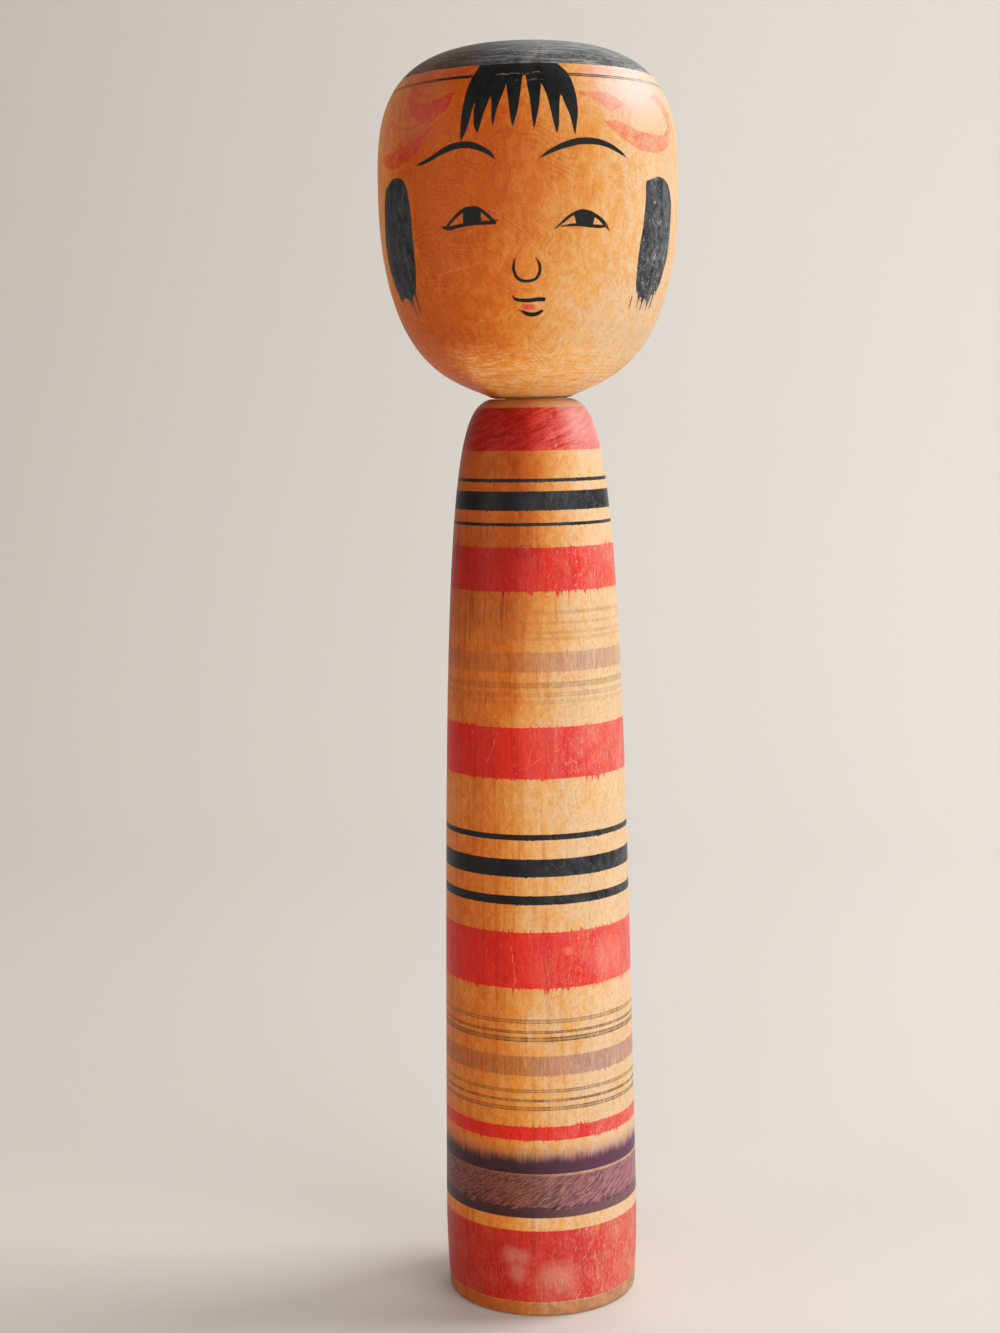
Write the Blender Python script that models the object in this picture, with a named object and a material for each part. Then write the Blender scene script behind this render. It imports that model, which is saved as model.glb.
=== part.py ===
"""Turned wooden kokeshi doll: a body with a bored neck socket, and a head turned in one
piece with the neck plug that snaps into it. Metres, +Z up, face towards -Y, with the
origin at the centre of the base."""

import math

import bmesh
import bpy
from mathutils import Matrix, Vector
from mathutils.geometry import interpolate_bezier

# Body, from the floor up
BODY_HEIGHT = 0.2207
BODY_RADIUS = 0.0241  # the taper's radius, carried straight down to the floor
BODY_TAPER = 0.0148  # radius lost per metre of height, over the long straight side
SHOULDER_LENGTH_POWER = 4.56  # higher keeps the side straight for longer
SHOULDER_ROUND_POWER = 6.33  # higher turns the shoulder in later and harder
FOOT_DRAW = 0.0010  # how far the side is drawn in at the floor
FOOT_RISE = 0.023  # height at which that draw ends
FOOT_ROUND = 0.0008  # rounding where the side meets the base
SEAT_RADIUS = 0.0096  # flat ring on top, which the head sits on

# Head, measured up from the seat
HEAD_HEIGHT = 0.0820
HEAD_RADIUS = 0.0356
CHEEK_HEIGHT = 0.0487  # where the head is widest
CROWN_POWER = 3.1  # 2 is an ellipse, higher is squarer
CHIN_RADIUS = 0.0094  # flat ring under the head
CHIN_SLOPE = math.radians(27)  # above level, where the chin leaves that ring
CHIN_REACH = 0.0083  # length of the curve's handle at the ring
CHEEK_REACH = 0.0431  # length of its upright handle at the widest point

# Neck joint: a bulb on the plug is held under the lip of the socket
SEAT_GAP = 0.0003  # between the head and the body
NECK_CLEARANCE = 0.0003  # all round the plug, its bulb and under the lip
NECK_RADIUS = 0.0061
BULB_RADIUS = 0.0070
LIP_DEPTH = 0.0050  # thickness of the lip that holds the bulb in
BULB_HEIGHT = 0.0042  # the bulb's straight side
BULB_NOSE = 0.0012  # chamfer on the bulb's leading end
SOCKET_END_CLEARANCE = 0.0008  # between the plug's end and the socket's floor
SOCKET_CHAMFER = 0.0004  # round the socket's mouth

# Marks that the lathe's drive claws leave in the base
CLAW_COUNT = 4
CLAW_CIRCLE_RADIUS = 0.0085
CLAW_LENGTH = 0.0065
CLAW_WIDTH = 0.0014
CLAW_DEPTH = 0.0011
CLAW_TIP_WIDTH = 0.0005  # each mark narrows to this at its deepest

# How finely the curves are cut
TURN_STEPS = 60
SHOULDER_STEPS = 22
FOOT_STEPS = 5
FOOT_ROUND_STEPS = 3
CHIN_STEPS = 16
CROWN_STEPS = 16
SMOOTH_ANGLE = math.radians(32)
MERGE_DISTANCE = 1e-6  # for the points that the turning doubles on the axis

WOOD_ROUGHNESS = 0.38
BODY_COLOUR = (0.56, 0.29, 0.12, 1.0)
HEAD_COLOUR = (0.62, 0.34, 0.15, 1.0)


def clear_scene():
    for obj in list(bpy.data.objects):
        bpy.data.objects.remove(obj, do_unlink=True)


def wood_material(name, colour):
    material = bpy.data.materials.new(name)
    material.use_nodes = True
    shader = material.node_tree.nodes["Principled BSDF"]
    shader.inputs["Base Color"].default_value = colour
    shader.inputs["Roughness"].default_value = WOOD_ROUGHNESS
    shader.inputs["Metallic"].default_value = 0.0
    material.diffuse_color = colour
    return material


def steps(first, last, count):
    """Count + 1 evenly spaced values from first to last."""
    return [first + (last - first) * i / count for i in range(count + 1)]


def body_taper(height):
    """Radius of the side before the shoulder rounds it off."""
    drawn_in = max(0.0, 1.0 - height / FOOT_RISE)
    return BODY_RADIUS - BODY_TAPER * height - FOOT_DRAW * drawn_in**2


def body_profile():
    """Outer side from the base's centre up to the rim of the seat, as (radius, height).

    The shoulder multiplies the taper by (1 - (height / peak) ** LENGTH) ** (1 / ROUND),
    and peak is set so that the radius at BODY_HEIGHT is SEAT_RADIUS.
    """
    closing = (SEAT_RADIUS / body_taper(BODY_HEIGHT)) ** SHOULDER_ROUND_POWER
    peak = BODY_HEIGHT / (1.0 - closing) ** (1.0 / SHOULDER_LENGTH_POWER)

    def radius_at(height):
        rounding = 1.0 - (height / peak) ** SHOULDER_LENGTH_POWER
        return body_taper(height) * rounding ** (1.0 / SHOULDER_ROUND_POWER)

    side_foot = radius_at(FOOT_ROUND)
    points = [(0.0, 0.0)]
    for angle in steps(-math.pi / 2, 0.0, FOOT_ROUND_STEPS):
        radius = side_foot - FOOT_ROUND * (1.0 - math.cos(angle))
        points.append((radius, FOOT_ROUND * (1.0 + math.sin(angle))))
    for height in steps(FOOT_ROUND, FOOT_RISE, FOOT_STEPS)[1:]:
        points.append((radius_at(height), height))
    # Heights bunch towards the top, where the shoulder turns in fastest.
    angle_low = math.asin((FOOT_RISE / peak) ** (SHOULDER_LENGTH_POWER / 2))
    angle_high = math.asin((BODY_HEIGHT / peak) ** (SHOULDER_LENGTH_POWER / 2))
    for angle in steps(angle_low, angle_high, SHOULDER_STEPS)[1:-1]:
        height = peak * math.sin(angle) ** (2 / SHOULDER_LENGTH_POWER)
        points.append((radius_at(height), height))
    points.append((SEAT_RADIUS, BODY_HEIGHT))
    return points


def plug_heights():
    """Distances below the head's underside: bulb cone, bulb side, nose, end."""
    cone_top = SEAT_GAP + LIP_DEPTH + NECK_CLEARANCE
    bulb_top = cone_top + BULB_RADIUS - NECK_RADIUS
    nose_top = bulb_top + BULB_HEIGHT
    return cone_top, bulb_top, nose_top, nose_top + BULB_NOSE


def socket_profile():
    """Bore from the seat down to the middle of the socket's floor, as (radius, height)."""
    lip_radius = NECK_RADIUS + NECK_CLEARANCE
    undercut_radius = BULB_RADIUS + NECK_CLEARANCE
    lip_bottom = BODY_HEIGHT - LIP_DEPTH
    undercut_top = lip_bottom - (undercut_radius - lip_radius)
    floor = BODY_HEIGHT + SEAT_GAP - plug_heights()[3] - SOCKET_END_CLEARANCE
    return [
        (lip_radius + SOCKET_CHAMFER, BODY_HEIGHT),
        (lip_radius, BODY_HEIGHT - SOCKET_CHAMFER),
        (lip_radius, lip_bottom),
        (undercut_radius, undercut_top),
        (undercut_radius, floor),
        (0.0, floor),
    ]


def head_profile():
    """Plug, chin and crown as (radius, height), from the plug's end up to the top.

    The chin is one Bezier curve from the ring at the seat to the widest point. The crown is
    a superellipse quarter: (r / HEAD_RADIUS) ** n + (h / crown) ** n = 1, n = CROWN_POWER.
    """
    seat = BODY_HEIGHT + SEAT_GAP
    cone_top, bulb_top, nose_top, plug_end = plug_heights()
    points = [
        (0.0, seat - plug_end),
        (BULB_RADIUS - BULB_NOSE, seat - plug_end),
        (BULB_RADIUS, seat - nose_top),
        (BULB_RADIUS, seat - bulb_top),
        (NECK_RADIUS, seat - cone_top),
        (NECK_RADIUS, seat),
    ]
    ring = Vector((CHIN_RADIUS, seat))
    cheek = Vector((HEAD_RADIUS, seat + CHEEK_HEIGHT))
    leaving = Vector((math.cos(CHIN_SLOPE), math.sin(CHIN_SLOPE))) * CHIN_REACH
    arriving = Vector((0.0, -CHEEK_REACH))
    chin = interpolate_bezier(ring, ring + leaving, cheek + arriving, cheek, CHIN_STEPS + 1)
    points += [tuple(point) for point in chin]
    crown = HEAD_HEIGHT - CHEEK_HEIGHT
    for angle in steps(0.0, math.pi / 2, CROWN_STEPS)[1:-1]:
        rise = crown * math.sin(angle) ** (2 / CROWN_POWER)
        points.append((HEAD_RADIUS * math.cos(angle) ** (2 / CROWN_POWER), cheek.y + rise))
    points.append((0.0, seat + HEAD_HEIGHT))
    return points


def turned(name, profile, material, origin_height=0.0):
    """A solid turned about the Z axis from a profile that starts and ends on the axis."""
    shape = bmesh.new()
    verts = [shape.verts.new((radius, 0.0, height - origin_height)) for radius, height in profile]
    edges = [shape.edges.new(pair) for pair in zip(verts, verts[1:])]
    bmesh.ops.spin(
        shape,
        geom=verts + edges,
        cent=(0.0, 0.0, 0.0),
        axis=(0.0, 0.0, 1.0),
        angle=math.tau,
        steps=TURN_STEPS,
        use_merge=True,
    )
    bmesh.ops.remove_doubles(shape, verts=shape.verts, dist=MERGE_DISTANCE)
    bmesh.ops.recalc_face_normals(shape, faces=shape.faces)
    mesh = bpy.data.meshes.new(name)
    shape.to_mesh(mesh)
    shape.free()
    mesh.shade_smooth()
    mesh.set_sharp_from_angle(angle=SMOOTH_ANGLE)
    mesh.materials.append(material)
    obj = bpy.data.objects.new(name, mesh)
    obj.location.z = origin_height
    bpy.context.scene.collection.objects.link(obj)
    return obj


def claw_cutter():
    """Wedges that stand up through the base, one for each drive claw, as one helper."""
    shape = bmesh.new()
    for i in range(CLAW_COUNT):
        wedge = bmesh.ops.create_cube(shape, size=1.0)["verts"]
        for vert in wedge:
            # The cube's middle is on the base, so its upper half makes the mark.
            vert.co.x *= CLAW_LENGTH
            vert.co.y *= CLAW_TIP_WIDTH if vert.co.z > 0 else 2 * CLAW_WIDTH - CLAW_TIP_WIDTH
            vert.co.z *= 2 * CLAW_DEPTH
        turn = Matrix.Rotation(math.tau * (i + 0.5) / CLAW_COUNT, 4, "Z")
        bmesh.ops.transform(
            shape, matrix=turn @ Matrix.Translation((CLAW_CIRCLE_RADIUS, 0.0, 0.0)), verts=wedge
        )
    mesh = bpy.data.meshes.new("claw_cutter")
    shape.to_mesh(mesh)
    shape.free()
    cutter = bpy.data.objects.new("claw_cutter", mesh)
    cutter.hide_render = True
    cutter.display_type = "WIRE"
    bpy.context.scene.collection.objects.link(cutter)
    return cutter


def make_body():
    wood = wood_material("body wood", BODY_COLOUR)
    body = turned("body", body_profile() + socket_profile(), wood)
    cut = body.modifiers.new("claw marks", "BOOLEAN")
    cut.operation = "DIFFERENCE"
    cut.solver = "EXACT"
    cut.object = claw_cutter()
    return body


def make_head(body):
    """The head's origin is on the joint's axis, level with the seat it turns on."""
    wood = wood_material("head wood", HEAD_COLOUR)
    head = turned("head", head_profile(), wood, origin_height=BODY_HEIGHT + SEAT_GAP)
    head.parent = body
    return head


def main():
    clear_scene()
    body = make_body()
    make_head(body)


main()
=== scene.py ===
import bpy
import numpy as np
from math import radians
from mathutils import Matrix, Vector


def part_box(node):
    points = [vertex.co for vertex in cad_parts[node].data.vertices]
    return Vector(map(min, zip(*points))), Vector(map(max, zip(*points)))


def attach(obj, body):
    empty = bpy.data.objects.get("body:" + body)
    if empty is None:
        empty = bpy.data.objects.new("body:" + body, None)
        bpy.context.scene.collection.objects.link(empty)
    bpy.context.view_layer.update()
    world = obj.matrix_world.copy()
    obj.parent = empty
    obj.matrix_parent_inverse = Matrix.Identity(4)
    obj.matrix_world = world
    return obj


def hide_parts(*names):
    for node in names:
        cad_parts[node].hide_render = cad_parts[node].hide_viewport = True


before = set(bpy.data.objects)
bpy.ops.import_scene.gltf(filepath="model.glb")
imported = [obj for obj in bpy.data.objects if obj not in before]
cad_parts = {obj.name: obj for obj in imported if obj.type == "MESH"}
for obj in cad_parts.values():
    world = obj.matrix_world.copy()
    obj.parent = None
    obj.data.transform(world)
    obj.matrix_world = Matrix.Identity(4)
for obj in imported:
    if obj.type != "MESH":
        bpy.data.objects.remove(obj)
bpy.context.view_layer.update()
print("frame loaded:", sorted(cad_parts))

mm = 0.001  # every size below is in millimetres and every angle in degrees


# Surfaces. Azimuth 0 is the middle of the face, and grows towards +X.

def turnedPoints(radii, azimuths):
    # Plan view (r * sin a, -r * cos a) of each row and column.
    a = np.radians(azimuths)[None, :]
    return np.stack([radii[:, None] * np.sin(a), -radii[:, None] * np.cos(a)], axis=2)


def turnedPiece(name, radii, heights, azimuths, uv):
    # A closed surface of revolution: row i, column j lies at (r * sin a, -r * cos a, h), with r
    # and h those of the row. The first and last rows are single points on the axis.
    rows, columns = len(radii) - 2, len(azimuths)
    level = np.broadcast_to(heights[1:-1, None, None], (rows, columns, 1))
    ring = np.concatenate([turnedPoints(radii[1:-1], azimuths), level], axis=2)
    ends = [[0.0, 0.0, heights[0]], [0.0, 0.0, heights[-1]]]
    points = np.concatenate([ring.reshape(-1, 3), ends]) * mm
    i, j = np.meshgrid(np.arange(rows - 1), np.arange(columns), indexing="ij")
    nextJ = (j + 1) % columns
    quads = np.stack([i * columns + j, i * columns + nextJ,
                      (i + 1) * columns + nextJ, (i + 1) * columns + j], axis=2).reshape(-1, 4)
    first, second = j[0], nextJ[0]
    last = (rows - 1) * columns
    under = np.stack([second, first, np.full(columns, rows * columns)], axis=1)
    over = np.stack([last + first, last + second, np.full(columns, rows * columns + 1)], axis=1)

    mesh = bpy.data.meshes.new(name)
    loops = np.concatenate([quads.ravel(), under.ravel(), over.ravel()])
    sizes = np.concatenate([np.full(len(quads), 4), np.full(2 * columns, 3)])
    mesh.vertices.add(len(points))
    mesh.vertices.foreach_set("co", points.ravel())
    mesh.loops.add(len(loops))
    mesh.loops.foreach_set("vertex_index", loops.astype(np.int32))
    mesh.polygons.add(len(sizes))
    mesh.polygons.foreach_set("loop_start", (np.cumsum(sizes) - sizes).astype(np.int32))
    mesh.update(calc_edges=True)
    mesh.validate()

    # The unrolled map: u follows the azimuth and v the rows, as uv["u"] and uv["v"] say.
    u = np.append(uv["u"], 1.0)
    v = uv["v"]
    quadU = np.stack([u[j], u[j + 1], u[j + 1], u[j]], axis=2).ravel()
    quadV = np.stack([v[i + 1], v[i + 1], v[i + 2], v[i + 2]], axis=2).ravel()
    middle = (u[:-1] + u[1:]) / 2
    underU = np.stack([u[1:], u[:-1], middle], axis=1).ravel()
    underV = np.tile([v[1], v[1], v[0]], columns)
    overU = np.stack([u[:-1], u[1:], middle], axis=1).ravel()
    overV = np.tile([v[-2], v[-2], v[-1]], columns)
    layer = mesh.uv_layers.new(name="OFBake")
    flat = np.stack([np.concatenate([quadU, underU, overU]), np.concatenate([quadV, underV, overV])], axis=1)
    layer.data.foreach_set("uv", flat.ravel())

    mesh.shade_smooth()
    mesh.set_sharp_from_angle(angle=radians(38))
    piece = bpy.data.objects.new(name, mesh)
    bpy.context.scene.collection.objects.link(piece)
    print(name, len(points), "points,", int((sizes - 2).sum()), "triangles")
    return piece


def pointValues(piece, name, kind, values):
    # One value for each point of the mesh; the two points on the axis repeat the first value.
    flat = values.reshape(-1) if values.ndim == 2 else values.reshape(-1, values.shape[-1])
    flat = np.concatenate([flat, flat[:1], flat[:1]]).astype(np.float32)
    attribute = piece.data.attributes.new(name, kind, "POINT")
    attribute.data.foreach_set("value" if kind == "FLOAT" else "vector", flat.ravel())


def stepped(*stretches):
    # Values from the start of the first stretch to the end of the last, each stretch being
    # (start, end, step) with its own even spacing.
    parts = [np.linspace(low, high, max(1, round((high - low) / step)), endpoint=False)
             for low, high, step in stretches]
    return np.append(np.concatenate(parts), stretches[-1][1])


# Nodes. A Wire is a node's output that takes part in sums: fade * 0.5 makes a node for it, in
# the tree that the wire is in.

class Wire:
    def __init__(self, socket):
        self.socket = socket
        self.tree = socket.id_data

    def __add__(self, other):
        return compute("ADD", self, other)

    def __radd__(self, other):
        return compute("ADD", other, self)

    def __sub__(self, other):
        return compute("SUBTRACT", self, other)

    def __rsub__(self, other):
        return compute("SUBTRACT", other, self)

    def __mul__(self, other):
        return compute("MULTIPLY", self, other)

    def __truediv__(self, other):
        return compute("DIVIDE", self, other)

    def __pow__(self, other):
        return compute("POWER", self, other)

    def __abs__(self):
        return compute("ABSOLUTE", self)

    def max(self, other):
        return compute("MAXIMUM", self, other)

    def min(self, other):
        return compute("MINIMUM", self, other)

    def clamped(self):
        # Keeps the sum that made this wire between 0 and 1.
        self.socket.node.use_clamp = True
        return self


def plug(socket, value):
    # Links a wire or sets a constant. A colour of three numbers gets its alpha here.
    if isinstance(value, Wire):
        value.tree.links.new(value.socket, socket)
    elif socket.type == "RGBA" and len(value) == 3:
        socket.default_value = (*value, 1.0)
    else:
        socket.default_value = value


def addNode(tree, kind, inputs, **settings):
    # A node with its settings and inputs, laid out in rows of 24.
    node = tree.nodes.new(kind)
    node.location = (190 * (len(tree.nodes) % 24), -210 * (len(tree.nodes) // 24))
    for name, value in settings.items():
        setattr(node, name, value)
    for key, value in inputs.items():
        plug(node.inputs[key], value)
    return node


def treeOf(values):
    # The node tree of the first wire among some values.
    return next(value.tree for value in values if isinstance(value, Wire))


def makeWire(kind, inputs, output=0, **settings):
    # One output of a new node, in the tree of the wires that feed it.
    return Wire(addNode(treeOf(inputs.values()), kind, inputs, **settings).outputs[output])


def compute(operation, *values):
    # Plain maths on numbers, and vector maths as soon as a vector or a tuple takes part.
    vectors = [isinstance(value, tuple) or isinstance(value, Wire) and value.socket.type != "VALUE"
               for value in values]
    if not any(vectors):
        return makeWire("ShaderNodeMath", dict(enumerate(values)), operation=operation)
    if operation == "MULTIPLY" and not all(vectors):
        return makeWire("ShaderNodeVectorMath", {0: values[0], "Scale": values[1]}, operation="SCALE")
    output = "Value" if operation in ("DOT_PRODUCT", "LENGTH") else "Vector"
    return makeWire("ShaderNodeVectorMath", dict(enumerate(values)), output, operation=operation)


def strongest(masks):
    # The highest of several masks at each place.
    total = masks[0]
    for mask in masks[1:]:
        total = total.max(mask)
    return total


def blend(factor, first, second, how="MIX"):
    # From first at 0 to second at 1; second is laid over first in the way that how says.
    return makeWire("ShaderNodeMix", {0: factor, 6: first, 7: second}, 2, data_type="RGBA", blend_type=how)


def ramp(value, low, high, start=0.0, end=1.0):
    # From start to end while value goes from low to high, eased at both.
    inputs = {0: value, 1: low, 2: high, 3: start, 4: end}
    return makeWire("ShaderNodeMapRange", inputs, interpolation_type="SMOOTHSTEP")


def gradient(value, stops):
    # Colours at places from 0 to 1, and the shades between them.
    wire = makeWire("ShaderNodeValToRGB", {0: value})
    elements = wire.socket.node.color_ramp.elements
    while len(elements) < len(stops):
        elements.new(0.5)
    for element, (position, colour) in zip(elements, stops):
        element.position = position
        element.color = (*colour, 1.0)
    return wire


def noise(place, scale, detail=2.0, rough=0.5, warp=0.0, output="Fac"):
    # scale is in cycles for each millimetre, one number or one for each axis. Where place is
    # one number and not a vector, the noise runs along a line.
    if isinstance(scale, tuple):
        place = place * scale
        scale = 1.0
    alongLine = place.socket.type == "VALUE"
    inputs = {"W" if alongLine else "Vector": place, "Scale": scale, "Detail": detail,
              "Roughness": rough, "Distortion": warp}
    return makeWire("ShaderNodeTexNoise", inputs, output, noise_dimensions="1D" if alongLine else "3D")


def split(vector):
    # The x, y and z of a vector, as three wires.
    return [Wire(output) for output in addNode(vector.tree, "ShaderNodeSeparateXYZ", {0: vector}).outputs]


def join(x, y, z):
    # A vector from three wires or numbers.
    return makeWire("ShaderNodeCombineXYZ", {0: x, 1: y, 2: z})


def use(group, **inputs):
    # Places a group and gives its outputs by name. ringPitch here is its input Ring Pitch.
    spaced = {"".join(" " + letter if letter.isupper() else letter for letter in name).title(): value
              for name, value in inputs.items()}
    node = addNode(treeOf(spaced.values()), "ShaderNodeGroup", spaced, node_tree=group)
    return {output.name: Wire(output) for output in node.outputs}


def newGroup(name, inputs, outputs):
    # A node group whose sockets take their kind from their defaults, the wires that its inputs
    # give inside it, and the sockets that wait for its results.
    group = bpy.data.node_groups.new(name, "ShaderNodeTree")
    for socketName, default in inputs.items():
        kind = {1: "Float", 3: "Vector", 4: "Color"}[len(default) if isinstance(default, tuple) else 1]
        socket = group.interface.new_socket(socketName, in_out="INPUT", socket_type="NodeSocket" + kind)
        socket.default_value = default
    for socketName, kind in outputs.items():
        group.interface.new_socket(socketName, in_out="OUTPUT", socket_type="NodeSocket" + kind)
    given = {output.name: Wire(output) for output in addNode(group, "NodeGroupInput", {}).outputs}
    return group, given, addNode(group, "NodeGroupOutput", {}).inputs


def newFinish(name):
    # A material with its shader, and the place on the piece in millimetres.
    material = bpy.data.materials.new(name)
    material.use_nodes = True
    shader = material.node_tree.nodes["Principled BSDF"]
    place = Wire(addNode(material.node_tree, "ShaderNodeTexCoord", {}).outputs["Object"]) * (1 / mm)
    return material, shader, place


# How the old wax shines, and how strong and how deep in millimetres the fine relief is
varnish = {"ior": 1.4, "specular": 0.26, "bumpStrength": 0.4, "bumpDepth": 0.14}


def coat(shader, colour, rough, height):
    # Feeds the shader its colour, its roughness and a relief whose height goes from 0 to 1.
    plug(shader.inputs["Base Color"], colour)
    plug(shader.inputs["Roughness"], rough)
    bump = {"Strength": varnish["bumpStrength"], "Distance": varnish["bumpDepth"] * mm, "Height": height}
    plug(shader.inputs["Normal"], makeWire("ShaderNodeBump", bump))
    shader.inputs["IOR"].default_value = varnish["ior"]
    shader.inputs["Specular IOR Level"].default_value = varnish["specular"]


# Finishes that both pieces share

litAzimuth = 75.0  # the way that the side painted lighter faces: painted light on that side, painted shade on the other
litSide = (np.sin(radians(litAzimuth)), -np.cos(radians(litAzimuth)), 0.0)

# The wood from deep amber on its shaded side to pale on its lit side: painted shade and painted light
woodShadeToLight = [(0.0, (0.50, 0.092, 0.004)), (0.25, (0.65, 0.168, 0.015)), (0.5, (0.76, 0.295, 0.05)),
            (0.75, (0.86, 0.46, 0.158)), (1.0, (0.92, 0.68, 0.44))]


def makeTurnedWood():
    # Pale fine wood gone amber: growth rings round a heart outside the piece, short upright
    # fibre flecks, cloudy patches and pores, turned pale where Fade is high, which paints light on the lit
    # side.
    group, given, wanted = newGroup("turnedWood", {
        "Place": (0.0, 0.0, 0.0), "Heart": (0.0, 0.0, 0.0), "Fade": 0.0, "Ring Pitch": 2.0,
        "Ring Depth": 0.3, "Fleck Depth": 0.3, "Pore Depth": 0.3, "Cloud Depth": 0.3},
        {"Colour": "Color", "Height": "Float", "Fibre": "Float"})
    place = given["Place"]
    sway = noise(place, (0.03, 0.03, 0.012), output="Color")
    swayed = place + (sway - (0.5, 0.5, 0.5)) * 13.0
    fromHeart = (swayed - given["Heart"]) * (1.0, 1.0, 0.12)
    ringAt = compute("LENGTH", fromHeart) / given["Ring Pitch"]
    ring = ramp(noise(ringAt, 1.0, 3.0, 0.62), 0.36, 0.68)
    fibre = noise(place, (1.9, 1.9, 0.17), 3.0, 0.62, 0.4)
    fleck = ramp(fibre, 0.5, 0.7)
    pores = ramp(noise(place, (1.7, 1.7, 1.0), 3.0, 0.75), 0.48, 0.7)
    cloud = ramp(noise(place, (0.09, 0.09, 0.045), 3.0, 0.6), 0.3, 0.7)
    mottle = ramp(noise(place, (0.5, 0.5, 0.3), 4.0, 0.7, 0.5), 0.34, 0.66)
    glint = ramp(noise(place, (1.5, 1.5, 1.3), 3.0, 0.72, 0.3), 0.6, 0.72)

    fade = given["Fade"] + (cloud - 0.5) * 0.2
    fade = (fade + (mottle - 0.5) * 0.26).clamped()
    colour = gradient(fade, woodShadeToLight)
    dark = ring * given["Ring Depth"] + fleck * given["Fleck Depth"] + pores * given["Pore Depth"]
    dark = dark + cloud * (given["Cloud Depth"] * 0.5) + mottle * (given["Cloud Depth"] * 0.6)
    colour = blend(dark.min(1.0), colour, (0.68, 0.5, 0.34), "MULTIPLY")
    glint = glint * (fade * 0.3 + 0.08)
    colour = blend(glint, colour, (0.95, 0.74, 0.5))
    plug(wanted["Colour"], colour)
    height = fibre * 0.6 - pores * 0.5
    plug(wanted["Height"], height - ring * 0.25)
    plug(wanted["Fibre"], fibre)
    return group


def makeCurlFigure():
    # Fine wavy lines of curly wood: noise drawn out along a direction, Turn, of the unrolled
    # surface, with Stretch its length along and across in millimetres. A second sheet, which
    # is unrolled from the back, takes over there and hides the first one's seam.
    group, given, wanted = newGroup("curlFigure", {
        "Unrolled": (0.0, 0.0, 0.0), "Turn": (0.0, 0.0, 0.0), "Stretch": (5.0, 0.6, 1.0), "Half Turn": 70.0},
        {"Figure": "Float"})
    arc, height, _ = split(given["Unrolled"])
    toBack = compute("SIGN", arc) * given["Half Turn"]
    fromBack = join(arc - toBack, height + 40.0, 0.0)
    sheets = []
    for sheet in (given["Unrolled"], fromBack):
        laid = {"Vector": sheet, "Rotation": given["Turn"], "Scale": given["Stretch"]}
        drawn = makeWire("ShaderNodeMapping", laid, vector_type="TEXTURE")
        sheets.append(ramp(noise(drawn, 1.0, 3.0, 0.58, 0.9), 0.34, 0.66))
    behind = ramp(abs(arc) / given["Half Turn"], 0.62, 0.8)
    front = sheets[0] * (1.0 - behind)
    plug(wanted["Figure"], front + sheets[1] * behind)
    return group


def makeFlatGrain():
    # Growth rings cut at a slant, which come out as nested wavy loops: level lines of a
    # smooth noise, sin(Count * noise), shown where a second noise lets them.
    group, given, wanted = newGroup("flatGrain", {
        "Place": (0.0, 0.0, 0.0), "Count": 300.0, "Span": (0.05, 0.05, 0.04)}, {"Lines": "Float"})
    level = noise(given["Place"] * given["Span"], 1.0, 2.2, 0.42, 0.35)
    jitter = noise(given["Place"], 0.9, 3.0, 0.6)
    level = level + jitter * 0.013
    line = ramp(compute("SINE", level * given["Count"]), -0.3, 0.95)
    shown = ramp(noise(given["Place"], (0.11, 0.11, 0.09), 3.0, 0.6), 0.42, 0.62, 0.06, 1.0)
    plug(wanted["Lines"], line * shown)
    return group


def makeLitSideFade():
    # 0 on the side turned away from the lamps, 1 on the side that faces them: the cosine
    # of the angle from that side, taken from Start to End. The finishes paint light and shade with it.
    group, given, wanted = newGroup(
        "litSideFade", {"Place": (0.0, 0.0, 0.0), "Side": (1.0, 0.0, 0.0), "Start": -0.15, "End": 1.05},
        {"Fade": "Float"})
    flat = compute("NORMALIZE", given["Place"] * (1.0, 1.0, 0.0))
    facing = compute("DOT_PRODUCT", flat, given["Side"])
    plug(wanted["Fade"], ramp(facing, given["Start"], given["End"]))
    return group


def makeRedDye():
    # Thin aniline red on wood: it tints what is under it, pools along the fibres, misses the
    # pores and is rubbed off in specks. Load is how much dye there is, from 0 to 1.
    group, given, wanted = newGroup("redDye", {
        "Wood": (0.7, 0.3, 0.1, 1.0), "Load": 0.0, "Place": (0.0, 0.0, 0.0), "Fibre": 0.5,
        "Rubbed": 0.3}, {"Colour": "Color", "Film": "Float"})
    place = given["Place"]
    specks = ramp(noise(place, (1.5, 1.5, 0.9), 4.0, 0.78), 0.46, 0.7)
    patches = ramp(noise(place, (0.16, 0.16, 0.1), 3.0, 0.6, 0.6), 0.42, 0.72)
    streaks = ramp(given["Fibre"], 0.38, 0.7)
    rub = (given["Rubbed"] * (specks * 0.5 + patches * 0.4)).clamped()
    load = given["Load"] * (1.0 - rub * 0.7)
    thin = blend(load, (1.0, 1.0, 1.0), (1.0, 0.29, 0.4))
    deep = blend(load * load, (1.0, 1.0, 1.0), (0.98, 0.24, 0.34))
    tint = blend(1.0, thin, deep, "MULTIPLY")
    pooled = blend(load * (streaks * 0.46), tint, (0.72, 0.42, 0.42), "MULTIPLY")
    colour = blend(1.0, given["Wood"], pooled, "MULTIPLY")
    hairs = ramp(noise(place, (3.0, 3.0, 0.16), 3.0, 0.7), 0.54, 0.68)
    hairs = hairs * (given["Rubbed"] * 0.3)
    dust = (rub * 0.34 + hairs) * given["Load"]
    plug(wanted["Colour"], blend(dust, colour, (0.94, 0.42, 0.34)))
    plug(wanted["Film"], load)
    return group


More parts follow.
